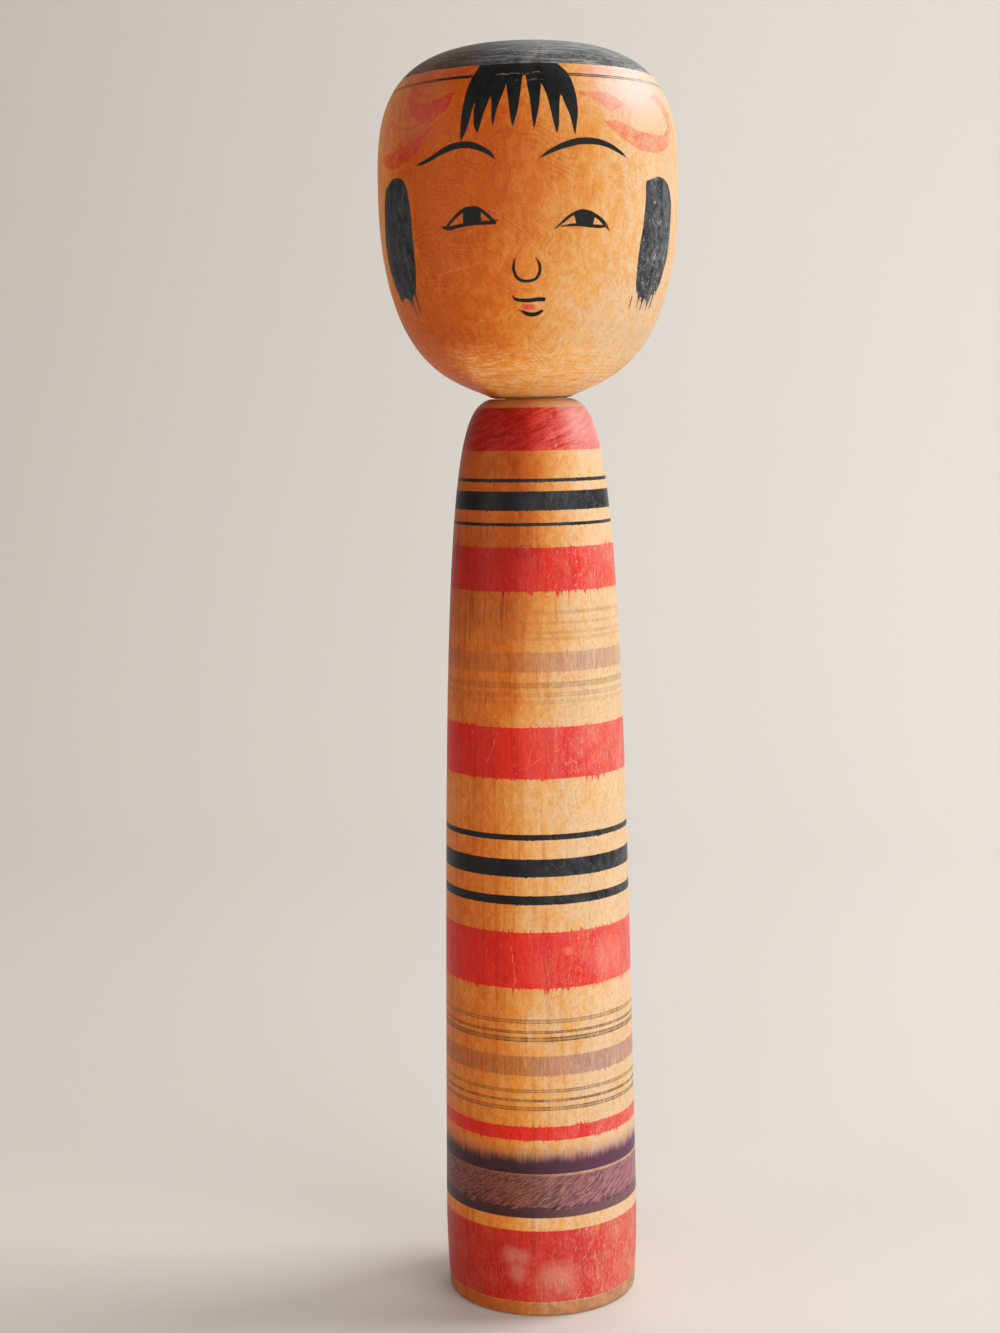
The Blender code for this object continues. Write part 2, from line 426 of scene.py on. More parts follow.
def makeBlackInk():
    # Soot ink: near black where it lies thick, brown where the brush ran thin, greyed to
    # blue-grey and flecked with bare spots where Worn is high, which stands for handling and painted sheen.
    group, given, wanted = newGroup("blackInk", {
        "Under": (0.7, 0.3, 0.1, 1.0), "Mask": 0.0, "Thin": 0.0, "Worn": 0.2, "Place": (0.0, 0.0, 0.0)},
        {"Colour": "Color", "Film": "Float", "Dull": "Float"})
    place = given["Place"]
    haze = ramp(noise(place, (0.35, 0.35, 0.2), 4.0, 0.7, 0.4), 0.3, 0.7)
    pits = ramp(noise(place, (1.3, 1.3, 0.9), 4.0, 0.8), 0.54, 0.68)
    worn = given["Worn"]
    black = blend(haze * worn, (0.004, 0.0042, 0.005), (0.15, 0.165, 0.185))
    black = blend((pits * (worn * 0.8)).clamped(), black, (0.3, 0.29, 0.28))
    black = blend(given["Thin"], black, (0.13, 0.03, 0.01))
    film = given["Mask"] * (1.0 - given["Thin"] * 0.4)
    plug(wanted["Colour"], blend(film, given["Under"], black))
    plug(wanted["Film"], film)
    plug(wanted["Dull"], haze)
    return group


def makeLineScratch():
    # A straight hairline from Start to End, both (arc, height, 0): 1 on the line, 0 past Width.
    group, given, wanted = newGroup("lineScratch", {
        "Unrolled": (0.0, 0.0, 0.0), "Start": (0.0, 0.0, 0.0), "End": (1.0, 1.0, 0.0), "Width": 0.15},
        {"Mask": "Float"})
    along = given["End"] - given["Start"]
    toPoint = given["Unrolled"] - given["Start"]
    share = (compute("DOT_PRODUCT", toPoint, along) / compute("DOT_PRODUCT", along, along)).clamped()
    away = compute("LENGTH", toPoint - along * share)
    plug(wanted["Mask"], ramp(away, 0.0, given["Width"], 1.0, 0.0))
    return group


def makeWornSpot():
    # A rubbed spot round Middle, which is (arc, height, 0), with a ragged rim: Mask is 1
    # inside Size and Rim is a thin line round it.
    group, given, wanted = newGroup("wornSpot", {
        "Unrolled": (0.0, 0.0, 0.0), "Middle": (0.0, 0.0, 0.0), "Size": (1.0, 1.0, 1.0), "Ragged": 0.3,
        "Inner": 0.72}, {"Mask": "Float", "Rim": "Float"})
    away = compute("LENGTH", (given["Unrolled"] - given["Middle"]) / given["Size"])
    wobble = (noise(given["Unrolled"], 0.55, 4.0, 0.7) - 0.5) * given["Ragged"]
    away = away + wobble
    plug(wanted["Mask"], ramp(away, given["Inner"], 1.08, 1.0, 0.0))
    onRim = abs(away - 1.0)
    plug(wanted["Rim"], ramp(onRim, 0.05, 0.2, 1.0, 0.0))
    return group


def makeLatheLine():
    # A narrow painted line between Low and High: its two edges are dark, and Fill is how
    # dark its middle is.
    group, given, wanted = newGroup(
        "latheLine", {"Height": 0.0, "Low": 0.0, "High": 1.0, "Fill": 0.4}, {"Mask": "Float"})
    middle = (given["Low"] + given["High"]) * 0.5
    half = (given["High"] - given["Low"]) * 0.5
    away = abs(given["Height"] - middle)
    body = ramp(away, half - 0.06, half + 0.12, 1.0, 0.0)
    rim = ramp(away, half - 0.42, half - 0.12)
    strength = rim.max(given["Fill"])
    plug(wanted["Mask"], body * strength)
    return group


turnedWood, curlFigure, flatGrain = makeTurnedWood(), makeCurlFigure(), makeFlatGrain()
litSideFade, redDye, blackInk, latheLine = makeLitSideFade(), makeRedDye(), makeBlackInk(), makeLatheLine()
lineScratch, wornSpot = makeLineScratch(), makeWornSpot()
print("shared finishes ready")


# Body

body = {
    "height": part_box("body")[1].z / mm, "radius": 24.1, "taper": 0.0148,
    "shoulderLength": 4.56, "shoulderRound": 6.33, "footDraw": 1.0, "footRise": 23.0, "footRound": 0.8,
    "seatRadius": 9.6,
    "socketRadius": 6.4, "socketChamfer": 0.4, "lipDepth": 5.0, "undercut": 0.9, "socketDepth": 12.4,
    "clawCircle": 8.5, "clawLength": 6.5, "clawWidth": 1.4, "clawTip": 0.5, "clawDepth": 1.1,
    "clawSlope": 0.35, "clawTurns": (45, 135, 225, 315), "columns": 192,
}


def bodySide(h):
    # Radius at height h: a straight taper, drawn in by a square law at the foot, times the
    # shoulder's (1 - (h / peak) ** shoulderLength) ** (1 / shoulderRound).
    def taper(height):
        drawnIn = np.maximum(0.0, 1.0 - height / body["footRise"])
        return body["radius"] - body["taper"] * height - body["footDraw"] * drawnIn**2
    closing = (body["seatRadius"] / taper(body["height"])) ** body["shoulderRound"]
    peak = body["height"] / (1.0 - closing) ** (1.0 / body["shoulderLength"])
    return taper(h) * (1.0 - (h / peak) ** body["shoulderLength"]) ** (1.0 / body["shoulderRound"])


def makeBody():
    # The profile runs from the middle of the base, round the foot, up the side, over the seat
    # and down the socket to the middle of its floor.
    top, foot = body["height"], body["footRound"]
    arc = np.radians(np.linspace(-90, 0, 7))
    footSide = bodySide(foot)
    footR = footSide - foot * (1 - np.cos(arc))
    footZ = foot * (1 + np.sin(arc))
    baseR = stepped((0.0, 4.6, 1.5), (4.6, 12.4, 0.3), (12.4, footR[0], 1.0))[:-1]
    sideZ = stepped((foot, body["footRise"], 1.2), (body["footRise"], 190.0, 1.4), (190.0, 214.0, 0.8),
                    (214.0, 219.2, 0.3), (219.2, top - 0.12, 0.08))[1:]
    sideR = bodySide(sideZ)
    seatR = stepped((body["socketRadius"] + body["socketChamfer"], body["seatRadius"], 0.5))[::-1]
    lip = body["socketRadius"]
    wall = lip + body["undercut"]
    boreR = np.array([lip, lip, wall, wall, wall * 0.5, 0.0])
    boreZ = top - np.array([body["socketChamfer"], body["lipDepth"], body["lipDepth"] + body["undercut"],
                            body["socketDepth"], body["socketDepth"], body["socketDepth"]])
    radii = np.concatenate([baseR, footR, sideR, seatR, boreR])
    heights = np.concatenate([np.zeros(len(baseR)), footZ, sideZ, np.full(len(seatR), top), boreZ])
    azimuths = np.linspace(-180, 180, body["columns"], endpoint=False)

    # Four drive-claw marks in the base, each a wedge that narrows to its deepest line.
    points = turnedPoints(radii, azimuths)
    lift = np.zeros(points.shape[:2])
    for turn in body["clawTurns"]:
        outward = np.array([np.cos(np.radians(turn)), np.sin(np.radians(turn))])
        out = points @ outward - body["clawCircle"]
        sideways = np.abs(points @ np.array([-outward[1], outward[0]]))
        slope = (body["clawWidth"] / 2 - sideways) / ((body["clawWidth"] - body["clawTip"]) / 2)
        ends = (body["clawLength"] / 2 - np.abs(out)) / body["clawSlope"]
        lift = np.maximum(lift, body["clawDepth"] * np.clip(slope, 0, 1) * np.clip(ends, 0, 1))
    lift[len(baseR):] = 0.0

    along = np.concatenate([[0], np.cumsum(np.hypot(np.diff(radii), np.diff(heights)))])
    footEnd, rimStart = along[len(baseR)], along[len(baseR) + len(footR) + len(sideR) - 1]
    v = np.interp(along, [0, footEnd, rimStart, along[-1]], [0.0, 0.06, 0.94, 1.0])
    uv = {"u": (azimuths + 180) / 360, "v": v}
    piece = turnedPiece("bodyShell", radii, heights, azimuths, uv)
    raised = np.zeros(len(piece.data.vertices) * 3)
    piece.data.vertices.foreach_get("co", raised)
    raised = raised.reshape(-1, 3)
    raised[:-2, 2] += lift[1:-1].ravel() * mm
    piece.data.vertices.foreach_set("co", raised.ravel())
    piece.data.update()
    return piece


# Rings painted on the lathe, as (low, high) heights. The grey-green lines add how dark the
# middle is and how dark the whole line is.
rings = {
    "red": [(208.7, 218.6), (176.1, 186.0), (131.9, 143.8), (81.6, 94.8), (44.4, 47.4), (3.8, 21.7)],
    "black": [(201.4, 202.15), (194.8, 199.2), (191.2, 191.9), (117.2, 118.5), (108.4, 112.6),
              (101.7, 103.8)],
    "green": [(153.3, 154.6, 0.75, 0.42), (151.2, 152.2, 0.6, 0.3), (149.5, 150.3, 0.6, 0.2),
              (72.95, 73.85, 0.5, 0.7), (70.5, 71.1, 0.6, 0.85), (68.5, 69.55, 0.55, 1.0),
              (56.0, 56.75, 0.5, 0.7), (53.75, 54.35, 0.9, 0.84), (51.6, 52.5, 0.55, 0.86)],
    "smoke": [(170.6, 171.4), (168.3, 168.8), (165.9, 166.6), (164.4, 165.2)],
    "mauve": [(157.1, 161.6), (60.2, 64.8)],
    "purpleDark": (35.8, 39.2), "purpleWash": (27.2, 35.8), "purpleLine": (25.0, 27.4), "purpleFade": 43.2,
}

# Marks on the body, in (azimuth, height): hairlines as start and end, spots as middle and size
bodyMarks = {
    "scratches": [((-12, 133.2), (16.6, 139.0)), ((1, 142.6), (-4, 135.0)), ((37.5, 143.4), (36.5, 132.2)),
                  ((-23, 142.8), (-31, 135.4)), ((-15, 91.5), (-13, 82.2)), ((8, 88.6), (6.8, 84.6)),
                  ((33, 94.6), (31, 86.0)), ((24.6, 75.0), (25.0, 60.0)), ((26.6, 75.0), (26.8, 61.0)),
                  ((36, 20.6), (24, 12.4)), ((52, 19.5), (48, 6.4))],
    "ticks": [((-7, 73.6), (-7.2, 65.8)), ((8.5, 71.2), (8.4, 66.6)), ((23.2, 70.6), (23.4, 65.0)),
              ((-32, 200.0), (-34, 166.0)), ((-38, 186.0), (-39, 160.0)), ((-46, 187.0), (-46.5, 150.0)),
              ((-26, 158.6), (-25.4, 150.5)), ((-12, 159.6), (-11.6, 150.0)), ((3, 158.4), (3.2, 149.6)),
              ((17, 160.0), (16.8, 156.8)), ((35, 51.0), (35.2, 44.6))],
    "spots": [((20.0, 90.4), (2.2, 1.5)), ((48.0, 88.0), (9.0, 6.5)), ((-17.0, 15.4), (3.2, 3.0)),
              ((-10.8, 15.0), (3.0, 2.8)), ((-13.6, 11.4), (3.0, 4.2)), ((12.0, 10.0), (7.5, 5.0))],
    "outlined": [((-4.3, 185.3), (2.5, 1.35))],
    "arcRadius": 22.5,  # turns azimuths into arc length
}


def makeWicking():
    # How far dye crept along the fibres past a painted edge: mostly a hair, with sparse spikes.
    group, given, wanted = newGroup(
        "wicking", {"Place": (0.0, 0.0, 0.0), "Reach": 1.5}, {"Down": "Float", "Up": "Float"})
    for name, shift, share in (("Down", (0.0, 0.0, 0.0), 1.0), ("Up", (31.0, 17.0, 5.0), 0.55)):
        place = given["Place"] + shift
        fine = noise(place, (1.6, 1.6, 0.02), 2.0, 0.6)
        where = ramp(noise(place, (0.15, 0.15, 0.035), 2.0, 0.5), 0.34, 0.6)
        spike = ramp(fine, 0.44, 0.74) ** 1.6
        spike = spike * where * (given["Reach"] * share)
        hair = noise(place, (1.1, 1.1, 0.1), 3.0, 0.7) * 0.3
        plug(wanted[name], spike + hair)
    return group


def makePaintedRing():
    # 1 between Low and High, with the edges moved out by the wicking and softened by Edge.
    group, given, wanted = newGroup("paintedRing", {
        "Height": 0.0, "Low": 0.0, "High": 1.0, "Down": 0.0, "Up": 0.0, "Creep": 1.0, "Edge": 0.12},
        {"Mask": "Float"})
    low = given["Low"] - given["Down"] * given["Creep"]
    high = given["High"] + given["Up"] * given["Creep"]
    over = ramp(given["Height"], low - given["Edge"], low + given["Edge"])
    under = ramp(given["Height"], high - given["Edge"], high + given["Edge"], 1.0, 0.0)
    plug(wanted["Mask"], over * under)
    return group


def unrolledPlace(place, radius):
    # (arc length, height, 0), the arc being the azimuth times a fixed radius.
    x, y, z = split(place)
    azimuth = compute("ARCTAN2", x, y * -1.0)
    return join(azimuth * radius, z, 0.0), z


def marked(group, unrolled, marks, radius, output="Mask", **inputs):
    # The strongest of several marks, each given in (azimuth, height).
    masks = []
    for first, second in marks:
        arc = radians(first[0]) * radius
        if group is lineScratch:
            ends = {"start": (arc, first[1], 0.0), "end": (radians(second[0]) * radius, second[1], 0.0)}
        else:
            ends = {"middle": (arc, first[1], 0.0), "size": (second[0], second[1], 1.0)}
        masks.append(use(group, unrolled=unrolled, **ends, **inputs)[output])
    return strongest(masks)


def wavy(unrolled, place, amount):
    # The unrolled place, shaken a little so that straight marks come out hand-made.
    shake = noise(place, 0.45, 3.0, output="Color")
    shake = (shake - (0.5, 0.5, 0.5)) * (amount, amount, 0.0)
    return unrolled + shake


def bodyFinish():
    # Layers from the wood up: lines and washes, red dye, ink, then dirt and bare wood.
    material, shader, place = newFinish("bodyFinish")
    unrolled, z = unrolledPlace(place, bodyMarks["arcRadius"])
    shaken = wavy(unrolled, place, 1.3)
    halfTurn = np.pi * bodyMarks["arcRadius"]
    wicking = use(makeWicking(), place=place, reach=2.3)
    ringGroup = makePaintedRing()

    # Painted shade: the upper body, in the head's shade, is painted deep amber further round than the lower,
    # and the lit side paler as painted light
    side = use(litSideFade, place=place, side=litSide, start=-0.08, end=1.0)["Fade"]
    near = use(litSideFade, place=place, side=litSide, start=-0.4, end=0.32)["Fade"]
    low = near * 0.46 + side * 0.28 + 0.25
    lower = ramp(z, 205.0, 122.0)
    fade = (side * (1.0 - lower) + low * lower).clamped()
    wood = use(turnedWood, place=place, heart=(-46.0, 38.0, 0.0), fade=fade, ringPitch=1.7, ringDepth=0.1,
               fleckDepth=0.15, poreDepth=0.44, cloudDepth=0.44)
    colour = wood["Colour"]
    # Upright dark stains, laid on more strongly on the shaded side as painted shade
    stains = ramp(noise(place, (0.6, 0.6, 0.012), 3.0, 0.6), 0.52, 0.72)
    stains = stains * ((1.0 - side) * 0.5)
    colour = blend(stains, colour, (0.62, 0.42, 0.3), "MULTIPLY")

    def ringMask(pairs, creep, edge):
        return strongest([use(ringGroup, height=z, low=low, high=high, down=wicking["Down"],
                              up=wicking["Up"], creep=creep, edge=edge)["Mask"] for low, high in pairs])

    # Grey-green and smoky lines, broken where the fibres took less of them
    dashes = ramp(noise(place, (0.5, 0.5, 0.25), 4.0, 0.72), 0.3, 0.54, 0.5, 1.0)
    broken = ramp(wood["Fibre"], 0.3, 0.56, 0.5, 1.0) * dashes
    green = strongest([use(latheLine, height=z, low=low, high=high, fill=fill)["Mask"] * dark
                       for low, high, fill, dark in rings["green"]]) * broken
    # The line colour in shaded and lit copies: painted shade and painted light
    lineColour = blend(side, (0.085, 0.03, 0.006), (0.055, 0.055, 0.04))
    colour = blend(green, colour, lineColour)
    smoke = ringMask(rings["smoke"], 0.0, 0.36) * ramp(noise(place, 0.12, 2.0), 0.3, 0.6, 0.4, 1.0)
    colour = blend(smoke * 0.3, colour, (0.3, 0.13, 0.04))

    # Faded mauve, which the fibres hold in fine upright strokes
    mauve = ringMask(rings["mauve"], 0.4, 0.2) * ramp(wood["Fibre"], 0.3, 0.7, 0.45, 1.0)
    strong = ramp(z, 60.0, 165.0, 0.74, 0.5)
    # The mauve in shaded and lit copies: painted shade and painted light
    mauveColour = blend(ramp(side, 0.0, 0.5), (0.24, 0.055, 0.02), (0.28, 0.105, 0.165))
    colour = blend(mauve * strong, colour, mauveColour)

    # Purple wash: a haze, a dark ring, a washed part with slanting curl, and a dark line
    curl = use(curlFigure, unrolled=shaken, turn=(0.0, 0.0, radians(36)), stretch=(2.6, 0.36, 1.0),
               halfTurn=halfTurn)["Figure"]
    darkLow, darkHigh = rings["purpleDark"]
    lineLow, lineHigh = rings["purpleLine"]
    hazeTop = z + (noise(place, 0.3, 3.0) - 0.5) * 1.8 + (wood["Fibre"] - 0.5) * 3.0
    haze = ramp(hazeTop, rings["purpleFade"] + 0.6, darkHigh - 0.4, 0.0, 0.8)
    haze = haze * ramp(z, darkLow - 0.05, darkLow + 0.2)
    # The haze in shaded and lit copies: painted shade and painted light
    colour = blend(haze, colour, blend(side, (0.2, 0.055, 0.035), (0.44, 0.2, 0.23)))
    core = ramp(hazeTop, darkHigh + 2.0, darkHigh - 0.9, 0.0, 0.985)
    purple = core * ramp(z, darkLow - 0.05, darkLow + 0.2)
    washed = ringMask([rings["purpleWash"]], 0.0, 0.15) * (0.84 + curl * 0.12)
    bright = use(latheLine, height=z, low=darkLow - 0.5, high=darkLow, fill=1.0)["Mask"]
    washed = washed * (1.0 - bright * side * 0.55)
    lineTop = lineHigh + (curl - 0.5) * 1.4
    line = ramp(z, lineLow - 0.1, lineLow + 0.1) * ramp(z, lineTop, lineTop + 0.9, 1.0, 0.0)
    line = line * (0.98 - side * 0.1)
    # The wash and the violet in shaded and lit copies: painted shade and painted light
    washLight = blend(side, (0.17, 0.048, 0.048), (0.46, 0.18, 0.24))
    washDark = blend(side, (0.034, 0.009, 0.014), (0.13, 0.038, 0.075))
    colour = blend(washed, colour, blend(curl, washLight, washDark))
    violet = blend(side, (0.034, 0.009, 0.017), (0.115, 0.042, 0.085))
    colour = blend(purple.max(line), colour, violet)

    # Red dye and its rubbed marks
    clean = [rings["red"][0], rings["red"][-1]]  # the shoulder's and the foot's, whose edges stayed clean
    load = ringMask(rings["red"][1:-1], 1.0, 0.1).max(ringMask(clean, 0.22, 0.1))
    spots = marked(wornSpot, unrolled, bodyMarks["spots"], bodyMarks["arcRadius"], ragged=0.7, inner=0.1)
    rims = marked(wornSpot, unrolled, bodyMarks["outlined"], bodyMarks["arcRadius"], "Rim", ragged=0.35)
    scratches = marked(lineScratch, shaken, bodyMarks["scratches"], bodyMarks["arcRadius"], width=0.16)
    nicked = scratches * ramp(noise(place, 0.7, 3.0, 0.7), 0.4, 0.62)
    load = load * (1.0 - nicked * 0.34) * ramp(side, 0.84, 1.0, 1.0, 0.86)
    # The red is rubbed paler towards the lit side: partly wear, partly painted light
    rubbed = 0.07 + side * 0.55 + ramp(z, 30.0, 10.0) * 0.26
    waves = use(curlFigure, unrolled=shaken, turn=(0.0, 0.0, radians(13)), stretch=(9.0, 1.0, 1.0),
                halfTurn=halfTurn)["Figure"]
    shoulder = ramp(z, 206.0, 210.0)
    strands = blend(shoulder, wood["Fibre"], 0.3 + waves * 0.5)
    rubbed = rubbed * (1.0 - shoulder * 0.6)
    red = use(redDye, wood=colour, load=load, place=place, fibre=strands, rubbed=rubbed)
    colour = red["Colour"]
    onShoulder = shoulder * load
    colour = blend(onShoulder * (waves * 0.5), colour, (0.62, 0.5, 0.62), "MULTIPLY")
    # Paler strands and pale flecks grow towards the lit side: partly wear, partly painted light
    paler = onShoulder * (1.0 - waves)
    colour = blend(paler * ramp(side, 0.1, 0.9, 0.03, 0.26), colour, (0.88, 0.4, 0.38))
    flecks = ramp(noise(place, (1.1, 1.1, 0.55), 4.0, 0.8), 0.58, 0.68)
    flecks = flecks * load * ramp(side, 0.3, 0.9, 0.06, 0.5)
    colour = blend(flecks, colour, (0.97, 0.6, 0.48))
    colour = blend(spots * (load * 0.26), colour, (0.94, 0.44, 0.34))
    colour = blend(rims * 0.75, colour, (0.62, 0.34, 0.3), "MULTIPLY")
    # The foot's worn red, darkened in shaded and lit copies: painted shade and painted light
    worn = ramp(z, 24.0, 20.0, 0.0, 0.9) * load
    colour = blend(worn, colour, blend(side, (0.7, 0.85, 0.85), (0.9, 1.1, 0.95)), "MULTIPLY")

    # Dark upright stains on the second band, darkened further on the shaded side as painted shade; painted
    # shade under the head; and a painted sheen on the shoulder's lit side
    stainAndShade = ramp(z, 196.0, 187.0) * ramp(z, 160.0, 174.0)
    stainAndShade = stainAndShade * (stains + ramp(side, 0.3, 0.0, 0.0, 0.3))
    colour = blend(stainAndShade, colour, (0.42, 0.36, 0.36), "MULTIPLY")
    headShadow = ramp(z, 180.0, 216.0) * ramp(side, 0.5, 0.0)
    colour = blend(headShadow * 0.46, colour, (0.42, 0.36, 0.34), "MULTIPLY")
    shoulderSheen = ramp(z, 205.0, 213.0) * ramp(side, 0.72, 1.0)
    colour = blend(shoulderSheen * 0.3, colour, (0.96, 0.66, 0.64))

    # Black ink rings, greyed towards the lit side as painted sheen
    inkMask = ringMask(rings["black"], 0.12, 0.07)
    ink = use(blackInk, under=colour, mask=inkMask, worn=0.02 + side * 0.34, place=place)
    colour = ink["Colour"]
    colour = blend(nicked * 0.2, colour, (0.9, 0.72, 0.5))
    ticks = marked(lineScratch, shaken, bodyMarks["ticks"], bodyMarks["arcRadius"], width=0.3)
    ticks = ticks * ramp(noise(place, (0.8, 0.8, 0.3), 3.0, 0.7), 0.36, 0.6)
    colour = blend(ticks * 0.5, colour, (0.42, 0.22, 0.16), "MULTIPLY")

    # A bare ring above the shoulder, in shaded and lit copies: painted shade and painted light
    ringBare = ramp(z, 218.5, 219.0, 0.0, 0.5)
    colour = blend(ringBare, colour, blend(side, (0.4, 0.17, 0.06), (0.72, 0.45, 0.27)))
    # Painted shade at the seam under the head darkens the rim and the seat; the socket and the underside are
    # darker too, and the foot is scuffed
    seamShade = ramp(z, 219.2, 220.7, 0.2, 0.9) * ramp(z, 218.2, 218.8)
    scuffed = ramp(z, 4.2, 3.4) * ramp(noise(place, (0.3, 0.3, 0.4), 3.0, 0.6), 0.4, 0.6, 0.15, 0.7)
    inside = ramp(compute("LENGTH", place * (1.0, 1.0, 0.0)), 9.2, 7.2, 0.0, 1.0)
    bare = inside * ramp(z, 190.0, 200.0)
    under = ramp(z, 0.9, 0.0, 0.0, 1.0)
    darkAndShade = bare.max(under).max(seamShade.max(scuffed))
    colour = blend(darkAndShade * 0.6, colour, (0.3, 0.125, 0.045))
    # Darker towards the bottom
    colour = blend(ramp(z, 4.0, 3.2, 0.0, 0.6), colour, (0.6, 0.4, 0.34), "MULTIPLY")

    film = ink["Film"].max(red["Film"] * 0.4)
    rough = 0.42 + (wood["Fibre"] - 0.5) * 0.2 - film * 0.04 + nicked * 0.15
    lathe = noise(place, (0.02, 0.02, 1.6), 3.0, 0.7)
    coat(shader, colour, rough, wood["Height"] * 0.5 + lathe * 0.5 + film * 0.3 - nicked * 0.9)
    return material


bodyShell = makeBody()
bodyShell.data.materials.append(bodyFinish())
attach(bodyShell, "body")
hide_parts("body")
print("body turned and ringed")


# Head, with its sizes measured up from the underside

head = {
    "height": 82.0, "radius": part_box("head")[1].x / mm, "cheekHeight": 48.7, "crownPower": 3.1,
    "chinRadius": 9.4, "chinSlope": 27.0, "chinReach": 8.3, "cheekReach": 43.1,
    "neckRadius": 6.1, "neckMiddle": 2.5, "bulbRadius": 7.0, "bulbNose": 1.2, "coneTop": 5.6,
    "bulbTop": 6.5, "noseTop": 10.7, "plugEnd": 11.9,  # the plug's depths below the underside
    "collarRadius": 8.8, "collarDrop": 0.24,  # a low step on the underside that darkens the seam
    "paintLow": 14.0, "paintHigh": 76.5, "paintAzimuth": 80.0,
}
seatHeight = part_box("head")[1].z / mm - head["height"]


def chinCurve(count=3000):
    # One cubic Bezier from the ring at the seat to the widest point: radius and height.
    t = np.linspace(0, 1, count)[:, None]
    slope = radians(head["chinSlope"])
    ring = np.array([head["chinRadius"], 0.0])
    cheek = np.array([head["radius"], head["cheekHeight"]])
    leaving = ring + np.array([np.cos(slope), np.sin(slope)]) * head["chinReach"]
    arriving = cheek - np.array([0.0, head["cheekReach"]])
    near, far = leaving * 3 * t * (1 - t) ** 2, arriving * 3 * t**2 * (1 - t)
    return (ring * (1 - t) ** 3 + near + far + cheek * t**3).T


def headSide(h):
    # Radius at height h: the chin's curve up to the cheek, then the crown's superellipse
    # (r / radius) ** power + (rise / crown) ** power = 1.
    chinR, chinZ = chinCurve()
    rise = np.clip((h - head["cheekHeight"]) / (head["height"] - head["cheekHeight"]), 0, 1)
    crown = head["radius"] * (1 - rise ** head["crownPower"]) ** (1 / head["crownPower"])
    return np.where(h <= head["cheekHeight"], np.interp(h, chinZ, chinR), crown)


